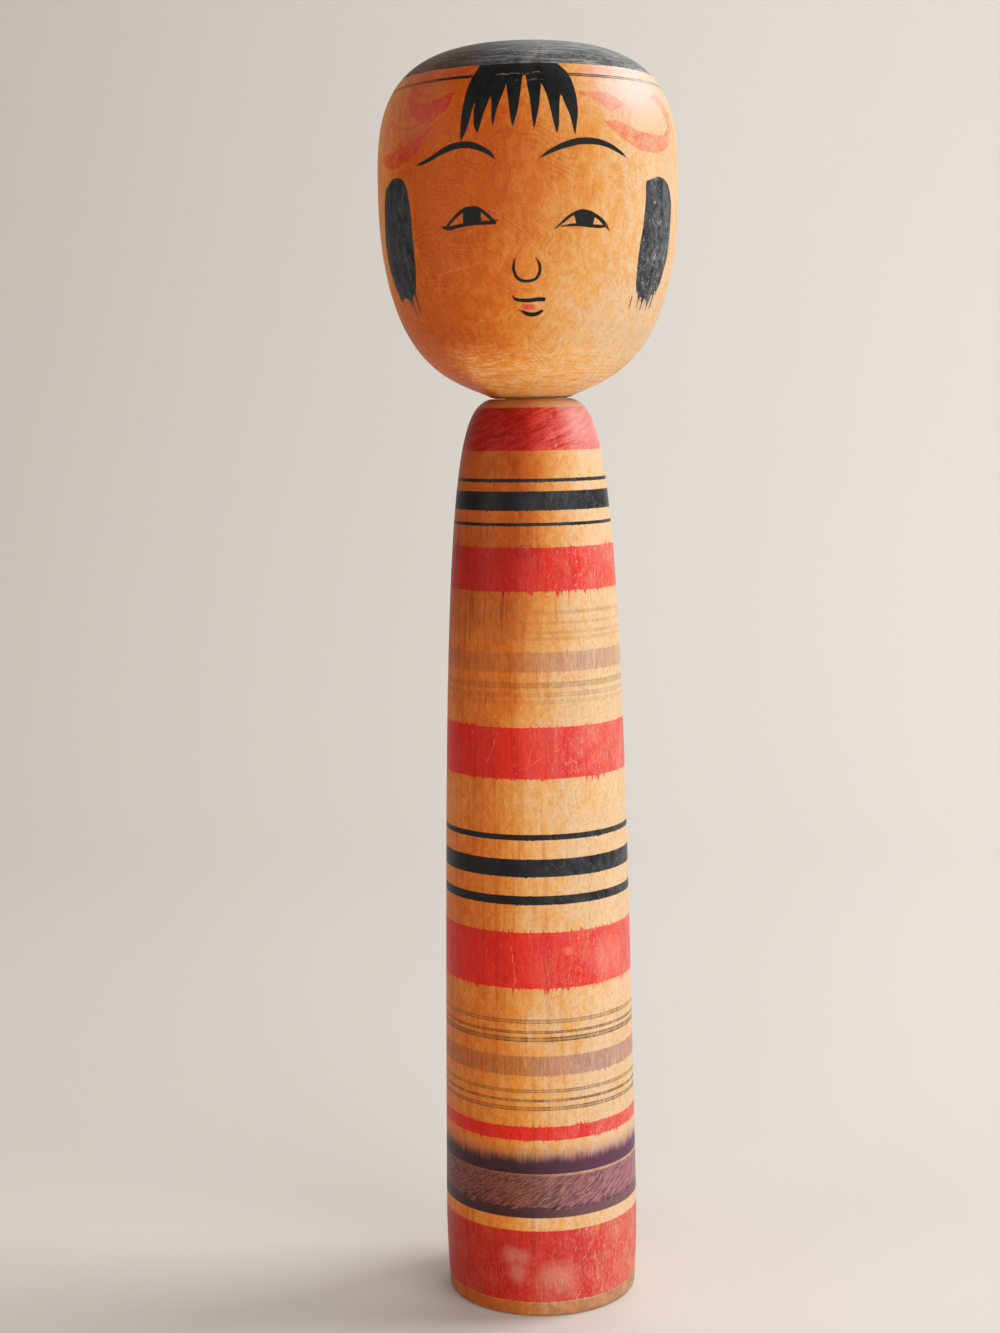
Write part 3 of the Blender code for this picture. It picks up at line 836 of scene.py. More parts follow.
# Brush strokes as (azimuth, height, half-width), and painted patches as outlines of (azimuth, height)
brow = 0.76
paint = {
    "tufts": [
        [(-15, 73.2, 2.2), (-18.7, 69, 1.9), (-20.8, 65.4, 1.35), (-21.7, 62.3, 1.15),
         (-22.5, 59.5, 0.82), (-23.7, 56.4, 0.05)],
        [(-13.5, 71, 2.0), (-15.9, 65.2, 1.5), (-16.8, 62.8, 1.2), (-17.3, 60, 0.72),
         (-17.1, 58.2, 0.05)],
        [(-9, 71.5, 2.0), (-10.1, 67.1, 1.35), (-10.7, 64.7, 0.85), (-11.2, 62, 0.45),
         (-11.4, 58.7, 0.05)],
        [(-3.5, 71.8, 1.9), (-3.75, 68, 1.6), (-3.7, 66, 1.35), (-3.75, 63.5, 1.0), (-4, 61, 0.5),
         (-4, 59.1, 0.05)],
        [(4, 71.8, 1.9), (4, 69, 1.6), (4.1, 66, 1.2), (4.05, 64, 0.95), (3.8, 61.5, 0.58),
         (3.6, 58.4, 0.05)],
        [(9.5, 71, 2.1), (11, 67.4, 1.7), (11.3, 64.7, 1.22), (11.5, 62.5, 0.95), (11.8, 59.8, 0.57),
         (11.9, 57.5, 0.05)],
        [(11.5, 72.8, 2.0), (15, 70.4, 2.0), (16.9, 67, 1.75), (17.7, 64.5, 1.45), (18.35, 62.5, 1.06),
         (18.5, 60, 0.55), (18.5, 57.0, 0.05)],
    ],
    "fringeTop": [(-18.9, 74.6), (-18.9, 73.5), (-19.6, 71), (-17.5, 67.5), (-14.5, 68), (-12.4, 67),
                  (-9.5, 70.2), (-6.9, 70), (-3.5, 71), (0, 71.4), (3.5, 71), (6.7, 69.6), (9.5, 69),
                  (13.7, 66.8), (16.5, 68.5), (16.3, 72.1), (14.2, 73.5), (14.2, 74.6)],
    "brows": [
        [(-43.2, 52.5, 0.2), (-41.4, 52.6, 0.36), (-36.9, 53.4, 0.5), (-32.3, 54.6, 0.62),
         (-28, 55.5, brow), (-23.9, 55.9, brow), (-19.9, 55.8, brow), (-16.1, 55, 0.64),
         (-12.4, 53.7, 0.46), (-10, 52.0, 0.06)],
        [(5, 52.3, 0.06), (7, 53.1, 0.3), (9.2, 53.9, 0.45), (12.8, 54.9, 0.62), (16.6, 55.7, brow),
         (20.3, 56.2, brow), (24.2, 56.3, brow), (28.2, 56.1, 0.68), (32.4, 55.4, 0.58),
         (36.6, 54.2, 0.42), (38.6, 53.5, 0.26), (40.8, 52.4, 0.05)],
    ],
    "leftLock": [(-56.9, 50.3), (-60.5, 50.0), (-64, 48.9), (-66.3, 48.1), (-68.3, 44.8), (-69.3, 41.5),
                 (-70.8, 37), (-71.4, 32.8), (-71.1, 30.5), (-69.5, 28.2), (-68.3, 25.4), (-66.0, 22.9),
                 (-62, 22.2), (-57.5, 20.6), (-54.2, 19.2), (-52.9, 21.4), (-50.8, 24.9), (-48.5, 29.3),
                 (-47.9, 33.7), (-47.8, 41.6), (-48.6, 44.9), (-49.5, 47.6), (-52.5, 49.7)],
    "rightLock": [(49.9, 47.8), (51.1, 48.5), (55, 49.1), (57.8, 49.6), (62.6, 49.2), (66.3, 48.1),
                  (68.7, 45.9), (70.1, 43.7), (70, 39.2), (70.1, 34.6), (69.7, 31.2), (68.2, 28.4),
                  (67, 25.4), (64.6, 23.2), (61.6, 20.4), (58.0, 19.8), (54.0, 20.6), (48.6, 20.2),
                  (47.8, 21.7), (48.4, 23.5), (48.3, 26.2), (47.6, 30.2), (47.9, 34), (48.9, 38.4),
                  (49.8, 44)],
    "leftIris": [(-22.9, 41.7), (-20.5, 42.1), (-17.8, 41.9), (-16.4, 41.4), (-16.2, 40.0), (-16.5, 38.7),
                 (-20, 38.5), (-23.0, 38.3), (-23.3, 40.0)],
    "rightIris": [(17.9, 40.6), (20, 41.0), (22.2, 41.0), (24.6, 40.6), (26.0, 40.1), (25.7, 39.0),
                  (25.0, 37.8), (22, 37.8), (19.2, 37.9), (18.3, 39.2)],
    "upperLines": [
        [(-29.5, 38.7, 0.2), (-26.6, 40.2, 0.3), (-24.4, 41.2, 0.34), (-22.4, 41.8, 0.36),
         (-20.4, 42.0, 0.36), (-18.4, 42.0, 0.36), (-16.5, 41.6, 0.34), (-14.7, 40.8, 0.32),
         (-12.9, 39.8, 0.3), (-11.6, 38.95, 0.3), (-10.1, 39.15, 0.08)],
        [(11.3, 37.4, 0.12), (13.4, 38.4, 0.22), (15.2, 39.4, 0.24), (17.1, 40.2, 0.26),
         (19.4, 40.8, 0.3), (21.3, 41, 0.34), (24, 40.7, 0.34), (26.1, 40.1, 0.34), (28.1, 39.4, 0.36),
         (30.3, 38.2, 0.38), (31.9, 37.1, 0.1)],
        [(-4.3, 30.4, 0.14), (-4.7, 29.1, 0.26), (-4.6, 28, 0.28), (-3.6, 26.7, 0.28), (-2, 26, 0.28),
         (-0.1, 25.8, 0.26), (1.8, 25.9, 0.24), (3.7, 26.3, 0.24), (4.9, 27.3, 0.26), (5.3, 28.6, 0.26),
         (4.9, 29.7, 0.22), (4.0, 30.6, 0.1)],
        [(-2.7, 19.4, 0.1), (-1.6, 19.17, 0.22), (-0.6, 18.83, 0.36), (0.6, 18.6, 0.42),
         (2.1, 18.5, 0.42), (3.8, 18.58, 0.38), (5.0, 18.87, 0.34), (5.7, 19.1, 0.24)],
    ],
    "lowerLines": [
        [(-32.2, 38.2, 0.12), (-30.6, 38.05, 0.34), (-29, 37.9, 0.38), (-24.7, 38.3, 0.34),
         (-20.7, 38.6, 0.32), (-16.8, 38.7, 0.34), (-12.9, 38.7, 0.36), (-11.5, 38.6, 0.2)],
        [(13.6, 37.7, 0.1), (16.4, 37.9, 0.2), (20.2, 38.0, 0.28), (24.2, 37.8, 0.3), (28.3, 37.7, 0.3),
         (30.6, 37.8, 0.16)],
        [(-5.3, 22.4, 0.12), (-4.8, 22.02, 0.24), (-3.9, 21.8, 0.3), (-2.3, 21.65, 0.34),
         (-0.3, 21.58, 0.37), (1.3, 21.59, 0.38), (3.4, 21.73, 0.38), (5.0, 21.8, 0.42),
         (6.3, 21.8, 0.4)],
    ],
    "lip": [(-1.0, 20.19, 0.62), (0.9, 20.18, 0.68), (2.4, 20.12, 0.6)],
    # Red scrolls: outlines, each with how much dye it carries and the way the brush went
    "scrolls": [
        ([(-26.8, 67.7), (-28.5, 66.7), (-29.0, 65.2), (-30.0, 64.1), (-32.6, 63.4), (-34.7, 62.3),
          (-36.9, 61.6), (-39.3, 61.1), (-42.6, 61.7), (-45.6, 62.7), (-48.3, 63.9), (-49.6, 65.1),
          (-48.8, 65.9), (-45.3, 66.3), (-42.3, 65.9), (-39.6, 65.8), (-38.2, 66.3), (-35.9, 66.6),
          (-33.5, 66.7), (-31.4, 67.4), (-29.2, 67.8)], 0.85, 20),
        ([(-37.2, 60.6), (-35.7, 60.2), (-36.6, 59.4), (-38.5, 58.2), (-39.9, 56.9), (-42.4, 55.7),
          (-45.1, 54.5), (-47.5, 53.8), (-50.5, 53.3), (-53.9, 52.6), (-57.6, 52.3), (-62.8, 52.7),
          (-67.1, 53.9), (-69.7, 54.9), (-67.7, 55.8), (-62.7, 56.2), (-58.3, 56.3), (-53.9, 56.6),
          (-49.3, 57.3), (-45.3, 58.3), (-41.6, 59.3), (-39.1, 60.1)], 0.66, 22),
        ([(21.2, 67.4), (23.4, 67.3), (26.8, 67.4), (30.3, 67.3), (33.3, 67.1), (35.9, 66.6),
          (38.1, 66.0), (39.8, 65.4), (41.7, 65.0), (39.4, 64.3), (36.7, 63.7), (33.5, 63.4),
          (31.0, 63.9), (29.8, 64.5), (27.9, 65.2), (25.5, 65.8), (23.1, 66.2), (21.2, 66.5)], 0.58, -22),
        ([(29.2, 61.3), (31.6, 60.8), (33.4, 61.0), (36.2, 61.3), (38.4, 60.8), (41.2, 60.3),
          (44.2, 59.6), (47.4, 59.2), (51.4, 59.1), (56.0, 59.0), (60.5, 59.0), (64.1, 59.4),
          (66.3, 60.3), (68.4, 61.6), (67.8, 62.9), (66.4, 64.2), (64.2, 65.4), (60.9, 66.3),
          (57.4, 66.9), (58.3, 67.6), (61.7, 68.3), (64.9, 67.9), (68.6, 67.3), (70.4, 66.3),
          (71.8, 65.0), (72.2, 63.4), (72.1, 61.8), (71.0, 60.1), (68.8, 58.2), (66.0, 56.6),
          (62.1, 55.4), (57.4, 54.7), (52.7, 54.7), (48.5, 54.9), (44.6, 55.4), (41.2, 56.3),
          (37.9, 57.2), (35.3, 58.3), (33.2, 59.3), (31.1, 60.2)], 0.56, -14),
        ([(20.7, 62.9), (22.5, 62.8), (24.5, 62.8), (24.6, 62.3), (22.5, 62.2), (20.7, 62.3)], 0.4, 0),
    ],
    "fainterScrolls": [
        ([(-53.1, 69.9), (-51.9, 70.6), (-48.6, 70.8), (-44.1, 70.8), (-39.9, 70.6), (-37.0, 70.3),
          (-38.9, 70.0), (-41.9, 69.7), (-43.7, 69.0), (-44.7, 67.9), (-45.2, 67.0), (-45.0, 66.1),
          (-44.1, 64.9), (-43.7, 63.8), (-43.9, 62.7), (-45.6, 62.7), (-48.3, 63.9), (-50.2, 65.6),
          (-52.1, 67.5), (-52.9, 68.9)], 0.48, 80),
        ([(-68.3, 55.5), (-69.3, 57.4), (-68.9, 60.1), (-67.5, 62.7), (-64.7, 64.8), (-60.3, 65.3),
          (-55.7, 64.8), (-54.9, 63.4), (-58.0, 61.6), (-60.7, 59.5), (-62.1, 57.4), (-63.8, 55.7)], 0.2,
         60),
        ([(-22.6, 73.4), (-28.4, 73.5), (-34.6, 73.5), (-41.4, 73.4), (-47.3, 73.1), (-50.5, 72.5),
          (-46.7, 71.9), (-41.6, 71.8), (-37.3, 71.9), (-30.9, 71.8), (-25.2, 71.7)], 0.34, 0),
        ([(23.8, 73.1), (29.2, 73.3), (34.3, 73.4), (39.6, 73.4), (45.1, 73.1), (46.4, 72.3),
          (38.8, 71.7), (32.7, 71.6), (27.0, 71.7), (23.5, 71.9)], 0.4, 0),
        ([(32.3, 65.3), (36.7, 64.8), (41.7, 65.0), (45.3, 63.8), (41.7, 62.3), (36.1, 62.7),
          (31.7, 63.5)], 0.22, -20),
        ([(45.9, 69.8), (51.2, 70.1), (51.1, 68.2), (50.5, 66.8), (46.9, 66.8), (45.8, 68.4)], 0.18, 70),
        ([(-36.9, 60.8), (-34.9, 61.4), (-32.5, 61.9), (-32.6, 61.3), (-34.9, 60.7), (-36.6, 60.2)], 0.3,
         20),
    ],
}


def smoothPath(points, closed=False, every=0.35):
    # A Catmull-Rom curve through the given points, cut into even short pieces. A closed
    # one runs on to its first point again.
    p = np.array(points, float)
    before, after = (p[-1:], p[:2]) if closed else (2 * p[:1] - p[1:2], 2 * p[-1:] - p[-2:-1])
    padded = np.concatenate([before, p, after])
    a, b, c, d = (padded[i:len(padded) - 3 + i, None, :] for i in range(4))
    t = np.linspace(0, 1, 24, endpoint=False)[None, :, None]
    curve = 0.5 * (2 * b + (c - a) * t + (2 * a - 5 * b + 4 * c - d) * t**2 + (3 * b - a - 3 * c + d) * t**3)
    curve = np.concatenate([curve.reshape(-1, p.shape[1]), p[:1] if closed else p[-1:]])
    length = np.concatenate([[0], np.cumsum(np.hypot(np.diff(curve[:, 0]) * 0.6, np.diff(curve[:, 1])))])
    even = np.linspace(0, length[-1], max(3, round(length[-1] / every)))
    return np.stack([np.interp(even, length, column) for column in curve.T], axis=1)


def rowSlope(height):
    # Rise for each millimetre along the profile, so that heights turn into lengths on the skin.
    small = 0.05
    run = (headSide(height + small) - headSide(height - small)) / (2 * small)
    return 1 / np.hypot(1, run)


def pathFrom(azimuth, height, path):
    # Which points of the head lie near a path, and the path's points and steps as each of them
    # sees it, with the surface unrolled round the point's own radius.
    near = (azimuth > path[:, 0].min() - 8) & (azimuth < path[:, 0].max() + 8)
    near &= (height > path[:, 1].min() - 4) & (height < path[:, 1].max() + 4)
    own = height[near]
    x = np.radians(path[None, :, 0] - azimuth[near][:, None]) * headSide(own)[:, None]
    y = (path[None, :, 1] - own[:, None]) / rowSlope(own)[:, None]
    return near, x, y, np.diff(x, axis=1), np.diff(y, axis=1)


def strokeField(azimuth, height, points):
    # For each point of the head: how far it lies inside the stroke (half-width less distance),
    # its signed offset across it and the half-width there.
    path = smoothPath(points)
    near, x, y, dx, dy = pathFrom(azimuth, height, path)
    inside, across = np.full(azimuth.shape, -9.0), np.full(azimuth.shape, 9.0)
    half = np.zeros(azimuth.shape)
    share = np.clip(-(x[:, :-1] * dx + y[:, :-1] * dy) / (dx**2 + dy**2), 0, 1)
    px, py = x[:, :-1] + share * dx, y[:, :-1] + share * dy
    width = path[None, :-1, 2] + share * np.diff(path[:, 2])[None, :]
    best = (width - np.hypot(px, py)).argmax(axis=1)
    pick = (np.arange(len(best)), best)
    gap = np.hypot(px[pick], py[pick])
    step = np.hypot(dx[pick], dy[pick])
    inside[near] = width[pick] - gap
    across[near] = (dx[pick] * py[pick] - dy[pick] * px[pick]) / step
    half[near] = width[pick]
    return inside, across, half


def patchField(azimuth, height, outline):
    # Signed distance to a smooth closed outline, positive inside, on the unrolled surface.
    near, x, y, dx, dy = pathFrom(azimuth, height, smoothPath(outline, closed=True))
    field = np.full(azimuth.shape, -9.0)
    share = np.clip(-(x[:, :-1] * dx + y[:, :-1] * dy) / np.maximum(dx**2 + dy**2, 1e-9), 0, 1)
    away = np.hypot(x[:, :-1] + share * dx, y[:, :-1] + share * dy).min(axis=1)
    turned = (y[:, :-1] > 0) != (y[:, 1:] > 0)
    crossing = x[:, :-1] - y[:, :-1] * dx / np.where(turned, dy, 1.0)
    insideOutline = (turned & (crossing > 0)).sum(axis=1) % 2 == 1
    field[near] = np.where(insideOutline, away, -away)
    return field


def headFields(azimuth, height):
    # The brushwork, as values for each point of the head.
    empty = np.full(azimuth.shape, -9.0)
    ink, thin = empty.copy(), np.zeros(azimuth.shape)
    for stroke in paint["tufts"] + paint["brows"]:
        inside, _, half = strokeField(azimuth, height, stroke)
        closer = inside > ink
        ink[closer] = inside[closer]
        thin[closer] = np.clip(1 - half / 0.3, 0, 1)[closer]
    for name in ("fringeTop", "leftLock", "rightLock", "leftIris", "rightIris"):
        inside = patchField(azimuth, height, paint[name])
        closer = inside > ink
        ink[closer] = inside[closer]
        thin[closer] = 0.0
    lines = {}
    for name in ("upperLines", "lowerLines"):
        packed = np.stack([empty + 18, np.zeros(azimuth.shape), empty], axis=2)
        for stroke in paint[name]:
            inside, across, half = strokeField(azimuth, height, stroke)
            closer = inside > packed[..., 2]
            packed[closer] = np.stack([across, half, inside], axis=2)[closer]
            tip = np.clip(1 - half / 0.2, 0, 1)
            thin = np.where((inside > -0.5) & (ink < -0.5), np.maximum(thin, tip), thin)
        lines[name] = packed
    dyes = []
    flow = np.zeros(azimuth.shape + (3,))
    for name in ("fainterScrolls", "scrolls"):
        field, carried = empty.copy(), np.zeros(azimuth.shape)
        for outline, load, heading in paint[name]:
            inside = patchField(azimuth, height, outline)
            closer = inside > field
            field[closer] = inside[closer]
            carried[closer] = load
            arc = np.radians(azimuth) * head["radius"]
            c, s = np.cos(radians(heading)), np.sin(radians(heading))
            apart = np.full(arc.shape, heading * 0.1)  # so that no two strokes share their hairs
            brushed = np.stack([arc * c + height * s, height * c - arc * s, apart], axis=2)
            inPatch = closer & (inside > -0.6)
            flow[inPatch] = brushed[inPatch]
        dyes.append((field, carried))
    lip = strokeField(azimuth, height, paint["lip"])[0]
    dye = np.stack([dyes[1][0], dyes[1][1], lip], axis=2)
    dyeTwo = np.stack([dyes[0][0], dyes[0][1], thin], axis=2)
    return ink, lines, dye, dyeTwo, flow


def makeHead():
    # The profile runs from the plug's end, up the neck, round the chin and over the crown.
    bulb, neck, collar, end = head["bulbRadius"], head["neckRadius"], head["collarRadius"], head["plugEnd"]
    plugR = np.array([0.0, 3.0, bulb - head["bulbNose"], bulb, bulb, neck, neck, neck, collar, collar])
    plugZ = -np.array([end, end, end, head["noseTop"], head["bulbTop"], head["coneTop"], head["neckMiddle"],
                       head["collarDrop"], head["collarDrop"], 0.0])
    skinZ = stepped((0.0, 3.0, 0.3), (3.0, 14.0, 0.55), (14.0, 17.5, 0.4), (17.5, 23.5, 0.22),
                    (23.5, 25.0, 0.4), (25.0, 31.2, 0.22), (31.2, 36.6, 0.42), (36.6, 42.8, 0.2),
                    (42.8, 51.4, 0.42), (51.4, 57.4, 0.26), (57.4, 73.0, 0.32),
                    (73.0, head["paintHigh"], 0.35))
    crown = head["height"] - head["cheekHeight"]
    startAngle = np.arcsin(((head["paintHigh"] - head["cheekHeight"]) / crown) ** (head["crownPower"] / 2))
    angles = np.linspace(startAngle, np.pi / 2, 27)[1:]
    crownR = head["radius"] * np.cos(angles) ** (2 / head["crownPower"])
    crownR[-1] = 0.0
    crownZ = head["cheekHeight"] + crown * np.sin(angles) ** (2 / head["crownPower"])
    radii = np.concatenate([plugR, headSide(skinZ), crownR])
    heights = np.concatenate([plugZ, skinZ, crownZ])
    azimuths = stepped((-180, -80, 4.0), (-80, -36, 0.72), (-36, 36, 0.54), (36, 80, 0.72),
                       (80, 180, 4.0))[:-1]

    first = len(plugR)  # the row where the painted skin starts
    u = np.interp(azimuths, [-180, -75, 75, 180], [0.0, 0.15, 0.85, 1.0])
    along = np.concatenate([[0], np.cumsum(np.hypot(np.diff(radii), np.diff(heights)))])
    paintStart = along[first + np.searchsorted(skinZ, 15.0)]
    paintEnd = along[first + np.searchsorted(skinZ, 75.0)]
    v = np.interp(along, [0, along[first], paintStart, paintEnd, along[-1]], [0.0, 0.02, 0.13, 0.87, 1.0])
    piece = turnedPiece("headShell", radii, heights + seatHeight, azimuths, {"u": u, "v": v})

    azimuth, height = np.meshgrid(azimuths, heights[1:-1], indexing="xy")
    painted = (height > head["paintLow"]) & (height < head["paintHigh"])
    painted &= np.abs(azimuth) < head["paintAzimuth"]
    block = np.ix_(painted.any(axis=1), painted.any(axis=0))
    ink, lines, dye, dyeTwo, flow = headFields(azimuth[block], height[block])

    def whole(part, empty):
        full = np.empty(azimuth.shape + part.shape[2:])
        full[...] = empty
        full[block] = part
        return full
    pointValues(piece, "ink", "FLOAT", whole(ink, -9.0))
    pointValues(piece, "upperLines", "FLOAT_VECTOR", whole(lines["upperLines"], (9.0, 0.0, -9.0)))
    pointValues(piece, "lowerLines", "FLOAT_VECTOR", whole(lines["lowerLines"], (9.0, 0.0, -9.0)))
    pointValues(piece, "dye", "FLOAT_VECTOR", whole(dye, (-9.0, 0.0, -9.0)))
    pointValues(piece, "dyeTwo", "FLOAT_VECTOR", whole(dyeTwo, (-9.0, 0.0, 0.0)))
    pointValues(piece, "flow", "FLOAT_VECTOR", whole(flow, (0.0, 0.0, 0.0)))
    return piece


# Marks on the head, as on the body, and the heights of the cap's edge and the line under it
headMarks = {
    "capEdge": 73.8, "ringLine": (70.8, 71.42), "arcRadius": 35.0,
    "scratches": [((-7.6, 31.8), (-10.2, 28.0)), ((-5.0, 32.8), (-8.2, 31.4)), ((-36, 27.6), (-22, 29.6)),
                  ((-22, 29.6), (-14, 30.4)), ((49.0, 31.4), (61.0, 29.4)), ((50.5, 28.2), (60.0, 34.2)),
                  ((52.0, 36.2), (57.5, 33.0)), ((-11, 71.2), (6.5, 71.5)), ((-3, 69.6), (7, 69.9))],
    "spots": [((-18.4, 6.6), (2.4, 0.7)), ((-10.0, 4.6), (3.4, 0.5)), ((-12.0, 3.4), (2.0, 0.4)),
              ((-20.0, 17.4), (0.9, 0.35)), ((8.0, 4.0), (4.0, 0.4))],
}


def headFinish():
    # Layers from the wood up: chin streaks, red scrolls, ink, then wear, bloom and scratches.
    material, shader, place = newFinish("headFinish")
    place = place - (0.0, 0.0, seatHeight)
    unrolled, z = unrolledPlace(place, headMarks["arcRadius"])
    shaken = wavy(unrolled, place, 1.3)
    arc = split(unrolled)[0]
    # From -35 on the left to 35 on the right, and back to 0 behind, so that nothing steps there
    x = split(place)[0]
    across = compute("NORMALIZE", place * (1.0, 1.0, 0.0))
    across = split(across)[0] * headMarks["arcRadius"]
    # Painted light and shade: the brow is painted deep amber further round, and the chin and the crown paler
    start = ramp(z, 18.0, 54.0, -0.5, 0.0) - ramp(z, 56.0, 68.0, 0.0, 0.3)
    side = use(litSideFade, place=place, side=litSide, start=start, end=1.08)["Fade"]
    back = use(litSideFade, place=place, side=litSide, start=-0.48, end=-0.88)["Fade"]
    under = use(litSideFade, place=place, side=litSide, start=-0.66, end=-0.3)["Fade"]
    fade = side + back * ramp(z, 4.0, 46.0) * 0.5
    lower = ramp(z, 15.0, 4.0)
    under = (under * 0.56 + side * 0.26) * lower
    fade = (fade * (1.0 - lower) + under).clamped()
    wood = use(turnedWood, place=place, heart=(-20.0, 62.0, 0.0), fade=fade, ringPitch=2.1,
               ringDepth=0.08, fleckDepth=0.1, poreDepth=0.4, cloudDepth=0.44)
    colour = wood["Colour"]
    curl = use(flatGrain, place=place, count=250.0, span=(0.034, 0.034, 0.055))["Lines"]
    curl = curl * ramp(side, 0.95, 0.3, 0.5, 1.0)
    colour = blend(curl * 0.42, colour, (0.72, 0.52, 0.36), "MULTIPLY")

    # Lathe streaks on the chin, where the tool left end grain, over painted light that brightens the chin
    # from below
    chin = ramp(z, 15.0, 5.0, 0.0, 1.0)
    streak = ramp(noise(place, (0.1, 0.1, 3.0), 4.0, 0.75, 0.5), 0.42, 0.64)
    chinLight = blend(chin, (1.0, 1.0, 1.0), (1.26, 1.32, 1.26))
    colour = blend(1.0, colour, chinLight, "MULTIPLY")
    colour = blend(streak * chin * 0.55, colour, (0.72, 0.54, 0.38), "MULTIPLY")
    flakes = ramp(noise(place, (0.26, 0.26, 2.4), 4.0, 0.75, 0.4), 0.5, 0.64)
    flakes = flakes * (chin * ramp(across, -31.0, -19.0, 0.12, 1.0))
    spots = marked(wornSpot, unrolled, headMarks["spots"], headMarks["arcRadius"], ragged=1.1)
    colour = blend((flakes * 0.5).max(spots * 0.14), colour, (0.94, 0.7, 0.42))

    ragged = (noise(place, 2.6, 3.0, 0.65) - 0.5) * 0.26

    def attribute(name, output="Fac"):
        return Wire(addNode(place.tree, "ShaderNodeAttribute", {}, attribute_name=name).outputs[output])

    # Red scrolls, brushed wet: streaks along the stroke, and dye pooled along its edge
    along, sideways, heading = split(attribute("flow", "Vector"))
    drawn = join(along * 0.16, sideways * 1.3, heading)
    hairs = ramp(noise(drawn, 1.0, 3.0, 0.6), 0.3, 0.7, 0.66, 1.1)
    scroll, scrollLoad, lip = split(attribute("dye", "Vector"))
    second, secondLoad, thin = split(attribute("dyeTwo", "Vector"))
    dabs = ramp(noise(place, (0.5, 0.5, 0.5), 4.0, 0.72, 0.5), 0.34, 0.66, 0.6, 1.1)
    # Rubbed off more on the lit side: partly wear, partly painted light
    rightWear = ramp(noise(place, (0.7, 0.7, 0.7), 4.0, 0.8), 0.4, 0.6) * side
    pooled = ramp(scroll, 0.1, 0.9, 1.16, 0.96)
    load = ramp(scroll + ragged, -0.12, 0.2) * (scrollLoad * pooled)
    load = load + ramp(second + ragged, -0.2, 0.45) * secondLoad
    load = load * hairs * dabs * (1.12 - rightWear * 0.6)
    lipHairs = ramp(noise(place, (1.1, 1.1, 3.0), 3.0, 0.6), 0.35, 0.6, 0.6, 0.95)
    lipLoad = ramp(lip + ragged, -0.08, 0.12) * lipHairs
    load = load.max(lipLoad).clamped()
    red = use(redDye, wood=colour, load=load, place=place, fibre=wood["Fibre"], rubbed=0.3)
    # Painted light: the red is painted pinker on the lit side
    litPink = load * ramp(side, 0.15, 0.6, 0.06, 0.34)
    colour = blend(litPink, red["Colour"], (0.78, 0.17, 0.16))

    # Ink: soft patches, fine lines and the ring line, solid on the left and hollow on the right
    fray = ramp(z, 26.0, 20.5)
    bristles = join(arc * 1.05, z * 0.05, 0.0)
    combed = ramp(noise(bristles, 1.0, 1.0, 0.5), 0.42, 0.62, -2.6, 0.9)
    lockSide = ramp(abs(across), 22.2, 24.4)
    frayed = fray * lockSide * combed
    field = attribute("ink") + ragged * 0.5 + frayed
    inkMask = ramp(field, -0.06, 0.08)
    for name in ("upperLines", "lowerLines"):
        offset, halfWidth, inside = split(attribute(name, "Vector"))
        edge = halfWidth - abs(offset) + ragged * 0.35
        line = ramp(edge, -0.16, -0.01) * ramp(inside, -0.45, -0.25)
        inkMask = inkMask.max(line)
    waver = (noise(place, 0.05, 2.0) - 0.5) * 0.4
    dry = ramp(noise(place, (0.5, 0.5, 1.5), 3.0, 0.7), 0.3, 0.55, 0.7, 1.0)
    low, high = headMarks["ringLine"]
    hollow = ramp(side, 0.35, 0.7, 1.0, 0.3)
    ringLine = use(latheLine, height=z + waver, low=low, high=high, fill=hollow)["Mask"]
    ringLine = ringLine * dry * ramp(abs(across), 19.0, 31.0, 1.0, 0.66)
    inkMask = inkMask.max(ringLine)
    capLine = z + (noise(place, 0.6, 3.0, 0.6) - 0.5) * 0.4
    cap = ramp(capLine, headMarks["capEdge"] - 0.1, headMarks["capEdge"] + 0.1)
    inkMask = inkMask.max(cap)
    nearTips = thin * (1.0 - cap).clamped()
    nearTips = nearTips.max(cap * ramp(x, -4.0, -25.0, 0.0, 0.24))
    nearTips = nearTips.max(ringLine * ramp(across, -17.2, -29.0, 0.0, 0.6))
    # The cap and the right-hand lock greyed: wear, with painted sheen that grows to the right
    lockWearAndSheen = lockSide * ramp(across, 22.0, 32.0, 0.24, 0.84)
    inkWearAndSheen = (cap * ramp(x, -13.0, 5.0, 0.2, 0.74) + lockWearAndSheen).clamped()
    ink = use(blackInk, under=colour, mask=inkMask, thin=nearTips, worn=inkWearAndSheen + 0.04, place=place)
    colour = ink["Colour"]

    # Pale nicks on the right-hand lock, on the side painted as lit
    nicks = ramp(noise(place, (0.9, 0.9, 0.6), 5.0, 0.82, 0.4), 0.575, 0.63)
    nicks = nicks * (ramp(x, 18.0, 25.0) * inkMask)
    colour = blend(nicks * 0.66, colour, (0.56, 0.56, 0.55))

    # Brushed rings of wear on the cap, with painted sheen that grows to the right and a painted reflection
    # on the top
    outward = compute("LENGTH", place * (1.0, 1.0, 0.0)) - z
    around = place * (0.12, 0.12, 0.0)
    onRings = around + join(0.0, 0.0, outward * 1.5)
    brushed = ramp(noise(onRings, 1.0, 5.0, 0.78, 0.4), 0.48, 0.64)
    capWearAndSheen = brushed * cap * ramp(x, -15.0, 8.0, 0.14, 0.8)
    capTopSheen = ramp(z, 75.5, 80.0)
    capWearAndSheen = (capWearAndSheen + capTopSheen * ramp(x, -11.0, 9.0, 0.0, 0.2)).clamped()
    colour = blend(capWearAndSheen, colour, (0.46, 0.445, 0.43))
